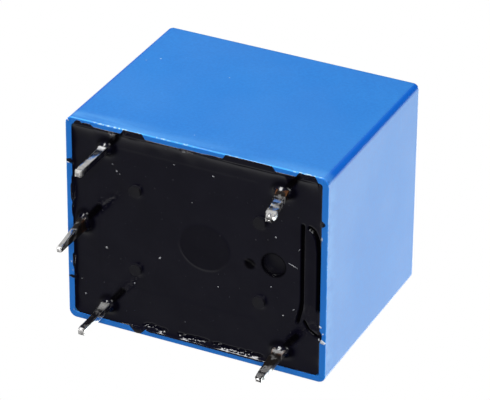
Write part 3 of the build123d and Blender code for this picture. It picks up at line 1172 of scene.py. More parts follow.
@dataclass
class ResinSeal(SubAssembly):
    """The black resin over the base, with menisci, furrows, recess and the overflow on the rim."""

    pins: list[Pin]
    half_length: float = 9.125
    half_width: float = 7.30
    wall: float = 0.45
    wall_margin: float = 0.005
    rim_z: float = 0.15
    dip: float = 0.15
    back_z: float = 0.595
    back_inset: float = 0.01
    x_step: float = 0.082
    y_step: float = 0.09
    fine_step: float = 0.037
    fine_ramp: float = 0.15
    fine_from: float = 7.55
    pin_room: float = 0.5
    ruler_marks: int = 6001
    band: float = 0.475
    band_rows: int = 18
    band_power: float = 1.4
    film: float = 0.04
    film_edge: float = 0.006
    shy: float = 0.03
    wet_span: Span = (0.02, 0.15)
    lift_width: float = 0.3
    steep_width: float = 0.055
    broad_wave: Wave = Wave(0.35, 0.9)
    steep_wave: Wave = Wave(0.5, 0.7)
    ragged_waves: tuple[Wave, Wave] = (Wave(0.16, 0.70), Wave(0.07, 0.24))
    ragged_row: float = 9.0
    calm_width: float = 0.3
    swell: Wave = Wave(0.006, 2.3)
    ripple: Wave = Wave(0.0018, 0.5)
    collar_height: float = 0.54
    collar_width: float = 0.19
    collar_wave: Wave = Wave(0.12, 0.5)
    # Painted shade on the collars round the pins.
    collar_dull: float = 0.65
    collar_shade: Span = (0.65, 0.35)
    collar_foot: Span = (0.06, 0.26)
    standoffs: tuple[Span, ...] = ((-4.415, -3.31), (-4.415, 2.73), (4.715, 2.73), (4.715, -3.31))
    standoff_radius: float = 0.43
    ring_height: float = 0.04
    ring_width: float = 0.10
    vent: Span = (5.66, -0.25)
    vent_radius: float = 0.85
    vent_margin: float = 0.012
    vent_corners: int = 64
    vent_lip: tuple[Span, ...] = ((0.030, 0.006), (0.012, -0.004), (0.0, 0.006), (-0.004, 0.03))
    # Painted shade on the vent's lip.
    vent_dull: float = 0.8
    vent_shade: Span = (0.10, 0.04)
    gate: Span = (0.62, -0.26)
    gate_radii: Span = (1.84, 1.70)
    gate_rise: float = 0.016
    gate_edge: Span = (1.05, 0.96)
    gate_lip: float = 0.015
    gate_lip_width: float = 0.035
    gate_lip_span: Span = (-0.2, 0.9)
    # Painted shade at the gate disc's edge.
    gate_dull: float = 0.22
    gate_shade: Span = (1.02, 0.95)
    dent: Mound = Mound((3.94, 0.1), (0.30, 0.13), -0.09, 28.0)
    # Painted shade in the dent.
    dent_dull: float = 0.9
    dent_shade: Span = (0.50, 0.30)
    tongue: SoftPatch = SoftPatch(((7.80, 7.95), (9.05, 7.95)), ((-3.7, -2.9), (3.0, 2.0)), 0.06)
    plateau: SoftPatch = SoftPatch(((-7.3, -7.05), (4.55, 4.25)), ((-6.3, -6.05), (4.4, 4.1)), -0.008)
    blob: Mound = Mound((8.55, 3.85), (0.34, 0.16), 0.05)
    # Painted dark reflections of the pins: a streak runs from each root along this offset.
    run: Span = (1.05, -1.30)
    reflection_run_width: float = 0.34
    reflection_run_full: float = 0.4
    reflection_run_dull: float = 0.95
    trough_inset: float = 0.30
    trough_width: float = 0.125
    trough_depth: float = 0.235
    trough_sway: tuple[Wave, Wave] = (Wave(0.10, 0.60), Wave(0.045, 0.17))
    trough_breaks: tuple[Wave, Wave] = (Wave(0.20, 0.28), Wave(0.26, 0.15))
    sway_row: float = 5.0
    drawn_ramp: Span = (0.20, 0.40)
    drawn_spans: tuple[tuple[float, float, float], ...] = (
        (-3.9, -2.2, 1.15),
        (-1.25, 0.9, 1.10),
        (1.3, 4.95, 1.00),
    )
    spills: tuple[Spill, ...] = (
        Spill(Side.NEAR, -9.3, -8.3, 0.30),
        Spill(Side.NEAR, -8.4, -7.5, 0.26),
        Spill(Side.NEAR, -7.6, -5.2, 0.10),
        Spill(Side.NEAR, -5.35, -3.75, 0.49),
        Spill(Side.NEAR, -3.9, -1.0, 0.08),
        Spill(Side.NEAR, -1.2, 2.3, 0.12),
        Spill(Side.NEAR, 2.1, 5.7, 0.48),
        Spill(Side.NEAR, 5.5, 7.4, 0.12),
        Spill(Side.NEAR, 7.3, 8.7, 0.47),
        Spill(Side.COIL_END, -4.58, -4.30, 0.44, 0.08),
        Spill(Side.COIL_END, -3.3, -2.6, 0.07),
        Spill(Side.COIL_END, -2.75, -1.4, 0.15),
        Spill(Side.COIL_END, -1.2, -0.3, 0.08),
        Spill(Side.COIL_END, 2.7, 3.7, 0.10, 0.12),
        Spill(Side.COIL_END, 4.44, 4.62, 0.44, 0.06),
        Spill(Side.FAR, -4.75, -3.95, 0.42, 0.25),
        Spill(Side.FAR, -3.6, 5.0, 0.10),
        Spill(Side.CONTACT_END, -4.5, -4.15, 0.24, 0.12),
        Spill(Side.CONTACT_END, 3.9, 4.5, 0.16, 0.2),
    )
    furrows: tuple[Furrow, ...] = (
        Furrow(((7.74, -3.76), (7.76, 2.0), (7.68, 2.6), (7.45, 3.6)), 0.17, 0.14),
        Furrow(((8.25, -3.72), (8.55, -3.55), (8.82, -3.0), (8.93, -2.0), (8.95, 2.3)), 0.20, 0.16),
        Furrow(((7.95, 3.45), (8.25, 3.95), (8.7, 4.25), (9.1, 4.35)), 0.14, 0.12),
    )
    menisci: tuple[Meniscus, ...] = (
        Meniscus(Side.COIL_END, 0.20),
        Meniscus(Side.CONTACT_END, 0.26, 0.5),
        Meniscus(Side.NEAR, 0.42),
        Meniscus(Side.FAR, 0.30, 0.35),
    )
    noise: ValueNoise = field(default_factory=lambda: ValueNoise(SEED))

    def reach(self, side: Side, along: Array) -> Array:
        """How far the resin runs over the rim of one wall.

        Args:
            side: The wall.
            along: Places along it in millimetres.

        Returns:
            The reach past the wall's inner face at each place.
        """
        total = np.zeros(np.shape(along))
        for spill in self.spills:
            if spill.side is side:
                window = smooth(spill.start - spill.ramp, spill.start + spill.ramp, along)
                window = window * smooth(spill.end + spill.ramp, spill.end - spill.ramp, along)
                total = np.maximum(total, spill.reach * window)
        ragged = 1.0
        for wave, row in zip(self.ragged_waves, (side.value, self.ragged_row)):
            ragged = ragged + wave.at(self.noise, along, np.full(np.shape(along), row))
        return np.clip(total * ragged, 0.0, self.wall - self.wall_margin)

    def lines(self, half: float, spans: list[Span], step: float) -> tuple[Array, Array]:
        """Grid lines along one axis, closer over some spans and in the band at each wall.

        Args:
            half: Half the cavity's size along the axis.
            spans: Where fine forms need closer lines.
            step: Distance of the lines elsewhere.

        Returns:
            The lines' places, and their share of the band, which is 0 inside it.
        """
        inner = half - self.band
        ruler = np.linspace(-inner, inner, self.ruler_marks)
        density = np.full(len(ruler), 1.0 / step)
        for low, high in spans:
            within = smooth(low - self.fine_ramp, low, ruler) * smooth(high + self.fine_ramp, high, ruler)
            density = np.maximum(density, 1.0 / step + (1.0 / self.fine_step - 1.0 / step) * within)
        count = np.concatenate([[0.0], np.cumsum((density[1:] + density[:-1]) / 2 * np.diff(ruler))])
        core = np.interp(np.linspace(0.0, count[-1], int(count[-1]) + 1), count, ruler)
        even = np.linspace(0.0, 1.0, self.band_rows + 1)[1:]
        share = 1.0 - (1.0 - even) ** self.band_power
        places = np.concatenate([-(inner + self.band * share[::-1]), core, inner + self.band * share])
        shares = np.concatenate([-share[::-1], np.zeros(len(core)), share])
        return places, shares

    def plan(self) -> tuple[Array, Array]:
        """Lay the grid out in plan, rounded at the corners and stretched over the rim by the spills.

        Returns:
            The x and y of each grid corner.
        """
        room = self.pin_room
        spans_x, spans_y = (
            [(p.root[k] - p.half[k] - room, p.root[k] + p.half[k] + room) for p in self.pins] for k in (0, 1)
        )
        spans_x.append((self.fine_from, self.half_length))
        across, share_x = self.lines(self.half_length, spans_x, self.x_step)
        down, share_y = self.lines(self.half_width, spans_y, self.y_step)
        x, y = np.meshgrid(across, down, indexing="ij")
        fx, fy = np.meshgrid(share_x, share_y, indexing="ij")
        round_x = fx * np.sqrt(1.0 - 0.5 * fy * fy)
        round_y = fy * np.sqrt(1.0 - 0.5 * fx * fx)
        x = np.where(fx == 0, x, np.sign(fx) * (self.half_length - self.band) + self.band * round_x)
        y = np.where(fy == 0, y, np.sign(fy) * (self.half_width - self.band) + self.band * round_y)
        over_x = np.where(fx < 0, self.reach(Side.COIL_END, y), self.reach(Side.CONTACT_END, y))
        over_y = np.where(fy < 0, self.reach(Side.NEAR, x), self.reach(Side.FAR, x))
        wide_x = x + round_x ** 3 * over_x
        wide_y = y + round_y ** 3 * over_y
        return self._draw_to_vent(wide_x, wide_y)

    def _draw_to_vent(self, x: Array, y: Array) -> tuple[Array, Array]:
        """Draw nearby grid corners to the vent's edge, so that it comes out round.

        Args:
            x: First coordinates in millimetres.
            y: Second coordinates in millimetres.

        Returns:
            The new coordinates.
        """
        dx, dy = x - self.vent[0], y - self.vent[1]
        radius = np.maximum(np.hypot(dx, dy), 1e-6)
        off = radius - self.vent_radius
        pull = 3.0 * self.y_step
        near = np.abs(off) < pull
        target = self.vent_radius + off * np.abs(off) / pull
        factor = np.where(near, target / radius, 1.0)
        return self.vent[0] + dx * factor, self.vent[1] + dy * factor

    def _from_wall(self, side: Side, x: Array, y: Array) -> tuple[Array, Array]:
        """Distance of points from a wall's inner face, and their places along the wall.

        Args:
            side: The wall.
            x: First coordinates in millimetres.
            y: Second coordinates in millimetres.

        Returns:
            The distances, which are negative over the rim, and the places.
        """
        return {
            Side.COIL_END: (x + self.half_length, y),
            Side.CONTACT_END: (self.half_length - x, y),
            Side.NEAR: (y + self.half_width, x),
            Side.FAR: (self.half_width - y, x),
        }[side]

    def _trough(self, x: Array, y: Array) -> Array:
        """Depth of the broken trough along the far wall.

        Args:
            x: First coordinates in millimetres.
            y: Second coordinates in millimetres.

        Returns:
            The depth at each place, in millimetres.
        """
        drawn = np.zeros(np.shape(x))
        row = np.zeros(np.shape(x))
        out, full = self.drawn_ramp
        for start, end, pull in self.drawn_spans:
            window = smooth(start - out, start + full, x) * smooth(end + out, end - full, x)
            drawn = np.maximum(drawn, pull * window)
        line = np.maximum(self.half_width - y, 0.0) - self.trough_inset
        line = line - self.trough_sway[0].at(self.noise, x, row)
        line = line - self.trough_sway[1].at(self.noise, x, row + self.sway_row)
        broken = 1.0 + self.trough_breaks[0].at(self.noise, x, y)
        broken = broken + self.trough_breaks[1].at(self.noise, x, row)
        return self.trough_depth * (drawn * np.exp(-((line / self.trough_width) ** 2)) * broken)

    def _walls(self, x: Array, y: Array) -> Array:
        """Height of the resin from its dip up the walls and over the rim.

        Args:
            x: First coordinates in millimetres.
            y: Second coordinates in millimetres.

        Returns:
            The height at each place, in millimetres.
        """
        wavy = 1.0 + self.broad_wave.at(self.noise, x, y)
        flat = np.ones(np.shape(x))
        lift = np.full(np.shape(x), -self.shy)
        film = np.zeros(np.shape(x))
        for meniscus in self.menisci:
            inside, along = self._from_wall(meniscus.side, x, y)
            over = self.reach(meniscus.side, along)
            wet = smooth(*self.wet_span, over)
            depth = np.maximum(inside, 0.0)
            broad = np.exp(-depth / (meniscus.width * wavy))
            sharp = np.exp(-depth / (self.steep_width * (1.0 + self.steep_wave.at(self.noise, along, depth))))
            flat = flat * (1.0 - (1.0 - meniscus.steep) * broad - meniscus.steep * sharp)
            near = np.exp(-depth / self.lift_width)
            lift = np.maximum(lift, -self.shy + (self.shy + self.film) * wet * near)
            share = np.clip(-inside / np.maximum(over, 1e-4), 0.0, 1.0)
            film = np.maximum(film, np.where(inside < 0, share, 0.0))
        height = -self.dip + (1.0 - flat) * (self.dip + lift) - self._trough(x, y)
        height = np.maximum(height, self.rim_z - self.back_z + self.film)
        crown = np.sqrt(np.clip(1.0 - film ** 3, 0.0, 1.0))
        return np.where(film > 0, (self.film + self.film_edge) * crown - self.film_edge, height)

    def _collars(self, x: Array, y: Array) -> Array:
        """Height of the resin that climbs each pin, and of the ring round each standoff.

        Args:
            x: First coordinates in millimetres.
            y: Second coordinates in millimetres.

        Returns:
            The height at each place, in millimetres.
        """
        height = np.zeros(np.shape(x))
        tall = self.collar_height * (1.0 + self.collar_wave.at(self.noise, x, y))
        for pin in self.pins:
            height = height + tall * np.exp(-pin.distance(x, y) / self.collar_width)
        for place_x, place_y in self.standoffs:
            gap = np.maximum(np.hypot(x - place_x, y - place_y) - self.standoff_radius, 0.0)
            height = height + self.ring_height * np.exp(-gap / self.ring_width)
        return height

    def _from_gate(self, x: Array, y: Array) -> Array:
        """Distance of points from the middle of the gate disc, as a share of its radius."""
        return np.hypot((x - self.gate[0]) / self.gate_radii[0], (y - self.gate[1]) / self.gate_radii[1])

    def _marks(self, x: Array, y: Array) -> Array:
        """Height of the gate disc, the dent, the furrows, the tongue, the faint plateau and the blob.

        Args:
            x: First coordinates in millimetres.
            y: Second coordinates in millimetres.

        Returns:
            The height at each place, in millimetres.
        """
        out = self._from_gate(x, y)
        disc = self.gate_rise * smooth(*self.gate_edge, out)
        lit = smooth(*self.gate_lip_span, (y - self.gate[1]) - (x - self.gate[0]))
        lip = np.exp(-((out - 1.0) / self.gate_lip_width) ** 2) * lit
        height = disc + self.gate_lip * lip + self.dent.height(x, y)
        for furrow in self.furrows:
            floor = furrow.floor_share * furrow.width
            height = height - furrow.depth * smooth(furrow.width, floor, furrow.distance(x, y))
        for form in (self.tongue, self.plateau, self.blob):
            height = height + form.height(x, y)
        return height

    def painted_shade_map(self, x: Array, y: Array) -> Array:
        """Painted shade: how dark each place is painted and how little it mirrors, most in the furrows, the
        dent and the painted dark reflections that run beside the pins.

        Args:
            x: First coordinates in millimetres.
            y: Second coordinates in millimetres.

        Returns:
            A share of painted shade for each place, 1 where it is darkest and mirrors least.
        """
        painted_dark = np.zeros(np.shape(x))
        # Painted shade in the furrows, at the gate's edge, in the dent and on the vent's lip.
        for furrow in self.furrows:
            full = furrow.dull_share * furrow.width
            painted_dark = np.maximum(painted_dark, smooth(furrow.width, full, furrow.distance(x, y)))
        to_dent = np.hypot(x - self.dent.centre[0], y - self.dent.centre[1])
        past_vent = np.hypot(x - self.vent[0], y - self.vent[1]) - self.vent_radius
        for dull, shade, away in (
            (self.gate_dull, self.gate_shade, self._from_gate(x, y)),
            (self.dent_dull, self.dent_shade, to_dent),
            (self.vent_dull, self.vent_shade, past_vent),
        ):
            painted_dark = np.maximum(painted_dark, dull * smooth(*shade, away))
        # Painted dark reflections run from each pin's root, and painted shade darkens its collar.
        for pin in self.pins:
            gap = pin.distance(x, y)
            root = (pin.root[0], pin.root[1])
            run = Furrow((root, (root[0] + self.run[0], root[1] + self.run[1])), self.reflection_run_width, 0.0)
            dull = self.reflection_run_dull * smooth(run.width, self.reflection_run_full * run.width, run.distance(x, y))
            dull = np.maximum(dull, self.collar_dull * smooth(*self.collar_shade, gap))
            painted_dark = np.maximum(painted_dark, dull * smooth(*self.collar_foot, gap))
        return painted_dark

    def height(self, x: Array, y: Array) -> Array:
        """Height of the resin over the rim's plane, towards the board.

        Args:
            x: Places in millimetres.
            y: Places in millimetres.

        Returns:
            The height at each place, in millimetres.
        """
        inside = np.minimum(self.half_length - np.abs(x), self.half_width - np.abs(y))
        calm = smooth(0.0, self.calm_width, inside)
        total = self._walls(x, y) + calm * (self._collars(x, y) + self._marks(x, y))
        return total + calm * (self.swell.at(self.noise, x, y) + self.ripple.at(self.noise, y, x))

    def build(self) -> Piece:
        """Build the closed resin body, with the vent's hole through it.

        Returns:
            The new piece.
        """
        x, y = self.plan()
        z = self.rim_z - self.height(x, y)
        rows, columns = x.shape
        front = np.stack([x, y, z], axis=-1).reshape(-1, 3)
        number = np.arange(rows * columns).reshape(rows, columns)
        quads = grid_quads(rows, columns)
        to_vent = np.hypot(front[:, 0] - self.vent[0], front[:, 1] - self.vent[1])
        open_here = to_vent < self.vent_radius + self.vent_margin
        faces = [tuple(q) for q in quads[~open_here[quads].all(axis=1)].tolist()]
        ring = np.concatenate([number[:-1, 0], number[-1, :-1], number[:0:-1, -1], number[0, :0:-1]])
        back = front[ring].copy()
        limit = np.array([self.half_length, self.half_width]) - self.back_inset
        back[:, :2] = np.clip(back[:, :2], -limit, limit)
        back[:, 2] = self.back_z
        first = len(front)
        count = len(ring)
        faces += ring_faces(ring, first + np.arange(count), ahead=True)
        bore, bore_faces = self._bore(first + count)
        around = np.arctan2(back[:, 1] - self.vent[1], back[:, 0] - self.vent[0])
        split = [int(np.argmin(np.abs(around))), int(np.argmin(np.abs(np.abs(around) - math.pi)))]
        inner = first + count + len(bore) - self.vent_corners
        for k, turn in ((0, 0), (1, self.vent_corners // 2)):
            span = (split[1 - k] - split[k]) % count
            outside = [first + (split[k] + i) % count for i in range(span + 1)]
            inside = [inner + (turn + i) % self.vent_corners for i in range(self.vent_corners // 2 + 1)]
            faces.append(tuple(outside + inside[::-1]))
        points = np.concatenate([front, back, bore])
        piece = mesh_piece("resin_seal", points, faces + bore_faces)
        # Store the painted shade for the resin's material.
        point_values(piece, "painted_shade", self.painted_shade_map(points[:, 0], points[:, 1]))
        return piece

    def _bore(self, first: int) -> tuple[Array, list[tuple[int, ...]]]:
        """Line the vent's hole with a rounded lip and a straight wall.

        Args:
            first: Number of the lining's first corner.

        Returns:
            The lining's corners, of which the last ring is at the back, and its faces.
        """
        angle = np.linspace(0.0, 2.0 * math.pi, self.vent_corners, endpoint=False)
        x = self.vent[0] + self.vent_radius * np.cos(angle)
        y = self.vent[1] + self.vent_radius * np.sin(angle)
        level = self.rim_z - self.height(x, y)
        rings = [(grow, level + sink) for grow, sink in self.vent_lip]
        rings += [rings[-1], (self.vent_lip[-1][0], np.full(len(angle), self.back_z))]
        points = []
        for grow, depth in rings:
            scale = 1.0 + grow / self.vent_radius
            points.append(np.stack([
                self.vent[0] + (x - self.vent[0]) * scale,
                self.vent[1] + (y - self.vent[1]) * scale,
                depth,
            ], axis=1))
        faces = []
        edge = len(self.vent_lip)
        for row in (*range(edge - 1), edge):
            upper = first + row * self.vent_corners + np.arange(self.vent_corners)
            faces += ring_faces(upper, upper + self.vent_corners, ahead=True)
        return np.concatenate(points), faces


@dataclass(frozen=True)
class CoatStyle:
    """How one pin's solder coat looks: its shape in millimetres, its stains from tip to root, its seed."""

    tip: Tip
    seed: int
    coat: float
    lumps: float
    facet: float
    tarnish: tuple[float, float, float]
    ripple: float = 0.0
    bead: float = 0.0
    flare: float = 0.0
    bare: float = 0.0


@dataclass
class PinCoat(SubAssembly):
    """The solder coat over one pin: a lumpy sleeve that closes over the tip."""

    pin: Pin
    style: CoatStyle
    start_z: float = 0.50
    bead_z: float = -0.30
    bead_ramp: float = 0.16
    tip_drop: float = 0.02
    rows: int = 130
    row_power: float = 0.78
    sides: int = 64
    squareness: float = 7.0
    square_span: Span = (1.6, 0.6)
    least_coat: float = 0.008
    lumps: RoundWave = RoundWave(2.0, (7.0, 3.0), (Wave(1.0, 0.55), Wave(0.5, 0.24)))
    crumple: RoundWave = RoundWave(1.3, (11.0, 17.0), (Wave(1.0, 0.30), Wave(1.0, 0.21)))
    crumple_share: float = 0.35
    crumple_span: Span = (0.95, 0.25)
    ripple_rate: float = 8.5
    ripple_slant: float = 1.7
    ripple_root: Span = (-0.5, -1.2)
    ripple_tip: Span = (0.7, 1.2)
    bead_middle: float = 0.75
    bead_width: float = 0.55
    bead_shares: Span = (0.30, 0.70)
    flare_span: Span = (0.1, 0.8)
    stain_heights: tuple[float, ...] = (-3.9, -3.0, -1.9, -0.9, -0.4)
    # Painted light: the pointed pin's near side is kept freer of stain, so it reads lighter.
    lit_side_share: float = 0.95
    lit_side_span: Span = (0.45, 0.75)
    lit_side_heights: Span = (-1.3, -1.9)
    corner_span: Span = (0.72, 0.92)
    bare_heights: Span = (-0.85, -0.45)
    bare_wave: float = 0.2
    bare_share: float = 0.25
    matte_facet: float = 0.45
    matte_side: Span = (0.3, 0.8)
    matte_flare: float = 0.03
    frost_span: Span = (1.5, 0.5)

    @property
    def shape(self) -> TipShape:
        """The shape of this pin's tip."""
        return self.style.tip.value

    def _near_tip(self, span: Span, left: Array) -> Array:
        """Rise to 1 at the tip over a span that is given in shares of its rounding."""
        return smooth(span[0] * self.shape.rounding, span[1] * self.shape.rounding, left)

    def _cap(self, left: Array) -> Array:
        """Share of the full section that is left near the tip, for each distance to it.

        Args:
            left: Distances to the tip in millimetres.

        Returns:
            The share at each distance.
        """
        least = self.shape.least
        share = np.clip(left / self.shape.rounding, 0.0, 1.0)
        return least + (1.0 - least) * (1.0 - (1.0 - share) ** 2) ** self.shape.power

    def _thickness(self, z: Array, turn: Array, left: Array) -> tuple[Array, Array]:
        """Thickness of the coat over the sleeve.

        Args:
            z: Height of each corner.
            turn: Angle of each corner round the pin.
            left: Distance of each corner to the tip.

        Returns:
            The thickness, and the wave that broke it up.
        """
        noise = ValueNoise(self.style.seed)
        wave = self.lumps.at(noise, z, turn)
        ripple = np.sin(z * self.ripple_rate + self.ripple_slant * np.cos(turn))
        ripple = ripple * smooth(*self.ripple_root, z) * smooth(*self.ripple_tip, left)
        bead = np.exp(-(((left - self.bead_middle) / self.bead_width) ** 2))
        bead = bead * (self.bead_shares[0] + self.bead_shares[1] * np.cos(turn) ** 2)
        crumple = self.crumple.at(noise, z, turn) * smooth(*self.crumple_span, left)
        flare = self._root(z) ** 2 * smooth(*self.flare_span, -np.sin(turn))
        coat = self.style.coat + self.style.lumps * wave + self.style.ripple * ripple
        coat = coat + self.style.bead * bead + self.crumple_share * self.shape.crumple * crumple
        return np.maximum(coat + self.style.flare * flare, self.least_coat), wave

    def _root(self, z: Array) -> Array:
        """Share of the root's facet at each height: 1 beside the resin, 0 under it and past the facet."""
        share = np.clip(1.0 - (self.bead_z - z) / self.style.facet, 0.0, 1.0)
        return share * smooth(self.bead_z + self.bead_ramp, self.bead_z, z)

    def build(self) -> Piece:
        """Build the sleeve, with its stains stored on it.

        Returns:
            The new piece.
        """
        end = self.pin.tip - np.array([0.0, 0.0, self.tip_drop])
        bend = self.pin.root
        drop = np.linspace(0.0, 1.0, self.rows) ** self.row_power
        heights = self.start_z + (end[2] - self.start_z) * drop
        angle = np.linspace(0.0, 2.0 * math.pi, self.sides, endpoint=False)
        z, turn = np.meshgrid(heights, angle, indexing="ij")
        left = z - end[2]
        share = np.clip((bend[2] - z) / (bend[2] - end[2]), 0.0, 1.0)
        near_end = self._near_tip(self.square_span, left)
        square = self.squareness + (self.shape.squareness - self.squareness) * near_end
        coat, wave = self._thickness(z, turn, left)
        cap = self._cap(left)
        units = []
        places = []
        for k, ratio in enumerate((np.cos(turn), np.sin(turn))):
            unit = np.sign(ratio) * np.abs(ratio) ** (2.0 / square)
            half = self.pin.half[k] + (self.pin.tip_half[k] - self.pin.half[k]) * share
            units.append(unit)
            places.append(bend[k] + (end[k] - bend[k]) * share + (half + coat) * cap * unit)
        points = np.stack([*places, z], axis=-1).reshape(-1, 3)
        piece = mesh_piece("solder_" + self.pin.node, points, self._faces())
        corner = smooth(*self.corner_span, np.abs(units[0] * units[1]))
        broken = np.maximum(corner, self.bare_share * (wave > self.bare_wave))
        for name, values in self._stains(z, turn, left, broken).items():
            point_values(piece, name, np.clip(values, 0.0, 1.0).ravel())
        return piece

    def _stains(
        self, z: Array, turn: Array, left: Array, broken: Array
    ) -> dict[str, Array]:
        """Work out what the coat stores for its finish.

        Args:
            z: Height of each corner.
            turn: Angle of each corner round the pin.
            left: Distance of each corner to the tip.
            broken: Where the coat can break off.

        Returns:
            The values of each corner, by name.
        """
        at_tip, at_mid, at_root = self.style.tarnish
        tarnish = np.interp(z, self.stain_heights, (at_tip, at_tip, at_mid, at_mid, at_root))
        near = -np.sin(turn)
        # Painted light: less stain over the middle of the pointed pin's near side, which faces the key light.
        if self.style.tip is Tip.POINT:
            lit_side = self.lit_side_share * smooth(*self.lit_side_span, near) * smooth(*self.lit_side_heights, z)
            tarnish = tarnish * (1.0 - lit_side)
        facet = smooth(0.0, self.matte_facet, self._root(z)) * smooth(*self.matte_side, near)
        return {
            "tarnish": tarnish,
            "bare": self.style.bare * smooth(*self.bare_heights, z) * broken,
            "matte": facet * smooth(0.0, self.matte_flare, np.full(z.shape, self.style.flare)),
            "frost": self.shape.frost * self._near_tip(self.frost_span, left),
        }

    def _faces(self) -> list[tuple[int, ...]]:
        """Number the sleeve's faces, with both ends closed.

        Returns:
            The faces' corner numbers.
        """
        rings = np.arange(self.rows * self.sides).reshape(self.rows, self.sides)
        faces = []
        for upper, lower in zip(rings, rings[1:]):
            faces += ring_faces(upper, lower, ahead=False)
        faces.append(tuple(rings[0].tolist()))
        faces.append(tuple(rings[-1, ::-1].tolist()))
        return faces


@dataclass(frozen=True)
class Crumb:
    """One fleck of dust or plastic on the pin side, in millimetres and degrees."""

    x: float
    y: float
    length: float
    width: float
    turn: float = 0.0


@dataclass
class Crumbs(SubAssembly):
    """A set of thin irregular flecks that lie on a surface."""

    name: str
    crumbs: tuple[Crumb, ...]
    surface: Callable[[Array, Array], Array]
    thickness: float = 0.03
    corners: int = 11
    raggedness: Span = (-0.35, 0.3)
    top_heights: Span = (0.5, 1.1)
    top_share: float = 0.6
    sink: float = 0.01

    def build(self) -> Piece:
        """Build all the flecks as one piece.

        Returns:
            The new piece.
        """
        random = np.random.default_rng(SEED)
        points: list[Array] = []
        faces: list[tuple[int, ...]] = []
        angle = np.linspace(0.0, 2.0 * math.pi, self.corners, endpoint=False)
        for crumb in self.crumbs:
            radius = 1.0 + random.uniform(*self.raggedness, self.corners)
            along = np.cos(angle) * radius * crumb.length / 2
            across = np.sin(angle) * radius * crumb.width / 2
            turn = math.radians(crumb.turn)
            x = crumb.x + along * math.cos(turn) - across * math.sin(turn)
            y = crumb.y + along * math.sin(turn) + across * math.cos(turn)
            level = float(self.surface(np.array([crumb.x]), np.array([crumb.y]))[0])
            first = sum(len(p) for p in points)
            rim = np.stack([x, y, np.full(self.corners, level + self.sink)], axis=1)
            top = rim.copy()
            top[:, 0] = crumb.x + (x - crumb.x) * self.top_share
            top[:, 1] = crumb.y + (y - crumb.y) * self.top_share
            top[:, 2] = level - self.thickness * random.uniform(*self.top_heights, self.corners)
            points += [rim, top]
            lower = first + np.arange(self.corners)
            upper = lower + self.corners
            faces += ring_faces(lower, upper, ahead=False)
            faces.append(tuple(upper[::-1].tolist()))
            faces.append(tuple(lower.tolist()))
        return mesh_piece(self.name, np.concatenate(points), faces)


@dataclass
class CoilTurns(SubAssembly):
    """The outermost layer of the coil's wire, laid turn by turn between the bobbin's flanges."""

    material: Look
    node: str = "coil_winding"
    wire_radius: float = 0.085
    corners: int = 8
    steps: int = 40

    def build(self) -> Piece:
        """Wind the wire as a spiral tube round the winding.

        Returns:
            The new piece.
        """
        low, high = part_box(self.node)
        middle = (low + high) / 2
        radius = min(high.x - low.x, high.y - low.y) / 2 + self.wire_radius * MM
        pitch = 2.0 * self.wire_radius * MM
        turns = int((high.z - low.z) / pitch) - 1
        length = turns * pitch
        grower = Grower("wire_turns", {
            "Turns": "Float", "Radius": "Float", "Length": "Float", "Wire": "Float",
            "Place": "Vector", "Material": "Material",
        })
        given = grower.given
        spiral = grower.node(
            "GeometryNodeCurveSpiral", {}, Resolution=self.steps, Rotations=given["Turns"],
            Start_Radius=given["Radius"], End_Radius=given["Radius"], Height=given["Length"],
        )
        section = grower.node(
            "GeometryNodeCurvePrimitiveCircle", {}, Resolution=self.corners, Radius=given["Wire"]
        )
        tube = grower.node(
            "GeometryNodeCurveToMesh", {}, Curve=spiral.outputs["Curve"],
            Profile_Curve=section.outputs["Curve"], Fill_Caps=True,
        )
        placed = grower.node(
            "GeometryNodeTransform", {}, Geometry=tube.outputs["Mesh"], Translation=given["Place"]
        )
        even = grower.node("GeometryNodeSetShadeSmooth", {}, Geometry=placed.outputs["Geometry"])
        grower.close(even.outputs["Geometry"])
        piece = mesh_piece("coil_turns", np.zeros((0, 3)), [])
        return grower.grow(piece, {
            "Turns": float(turns),
            "Radius": radius,
            "Length": length,
            "Wire": self.wire_radius * MM,
            "Place": (middle.x, middle.y, middle.z - length / 2),
            "Material": self.material,
        })


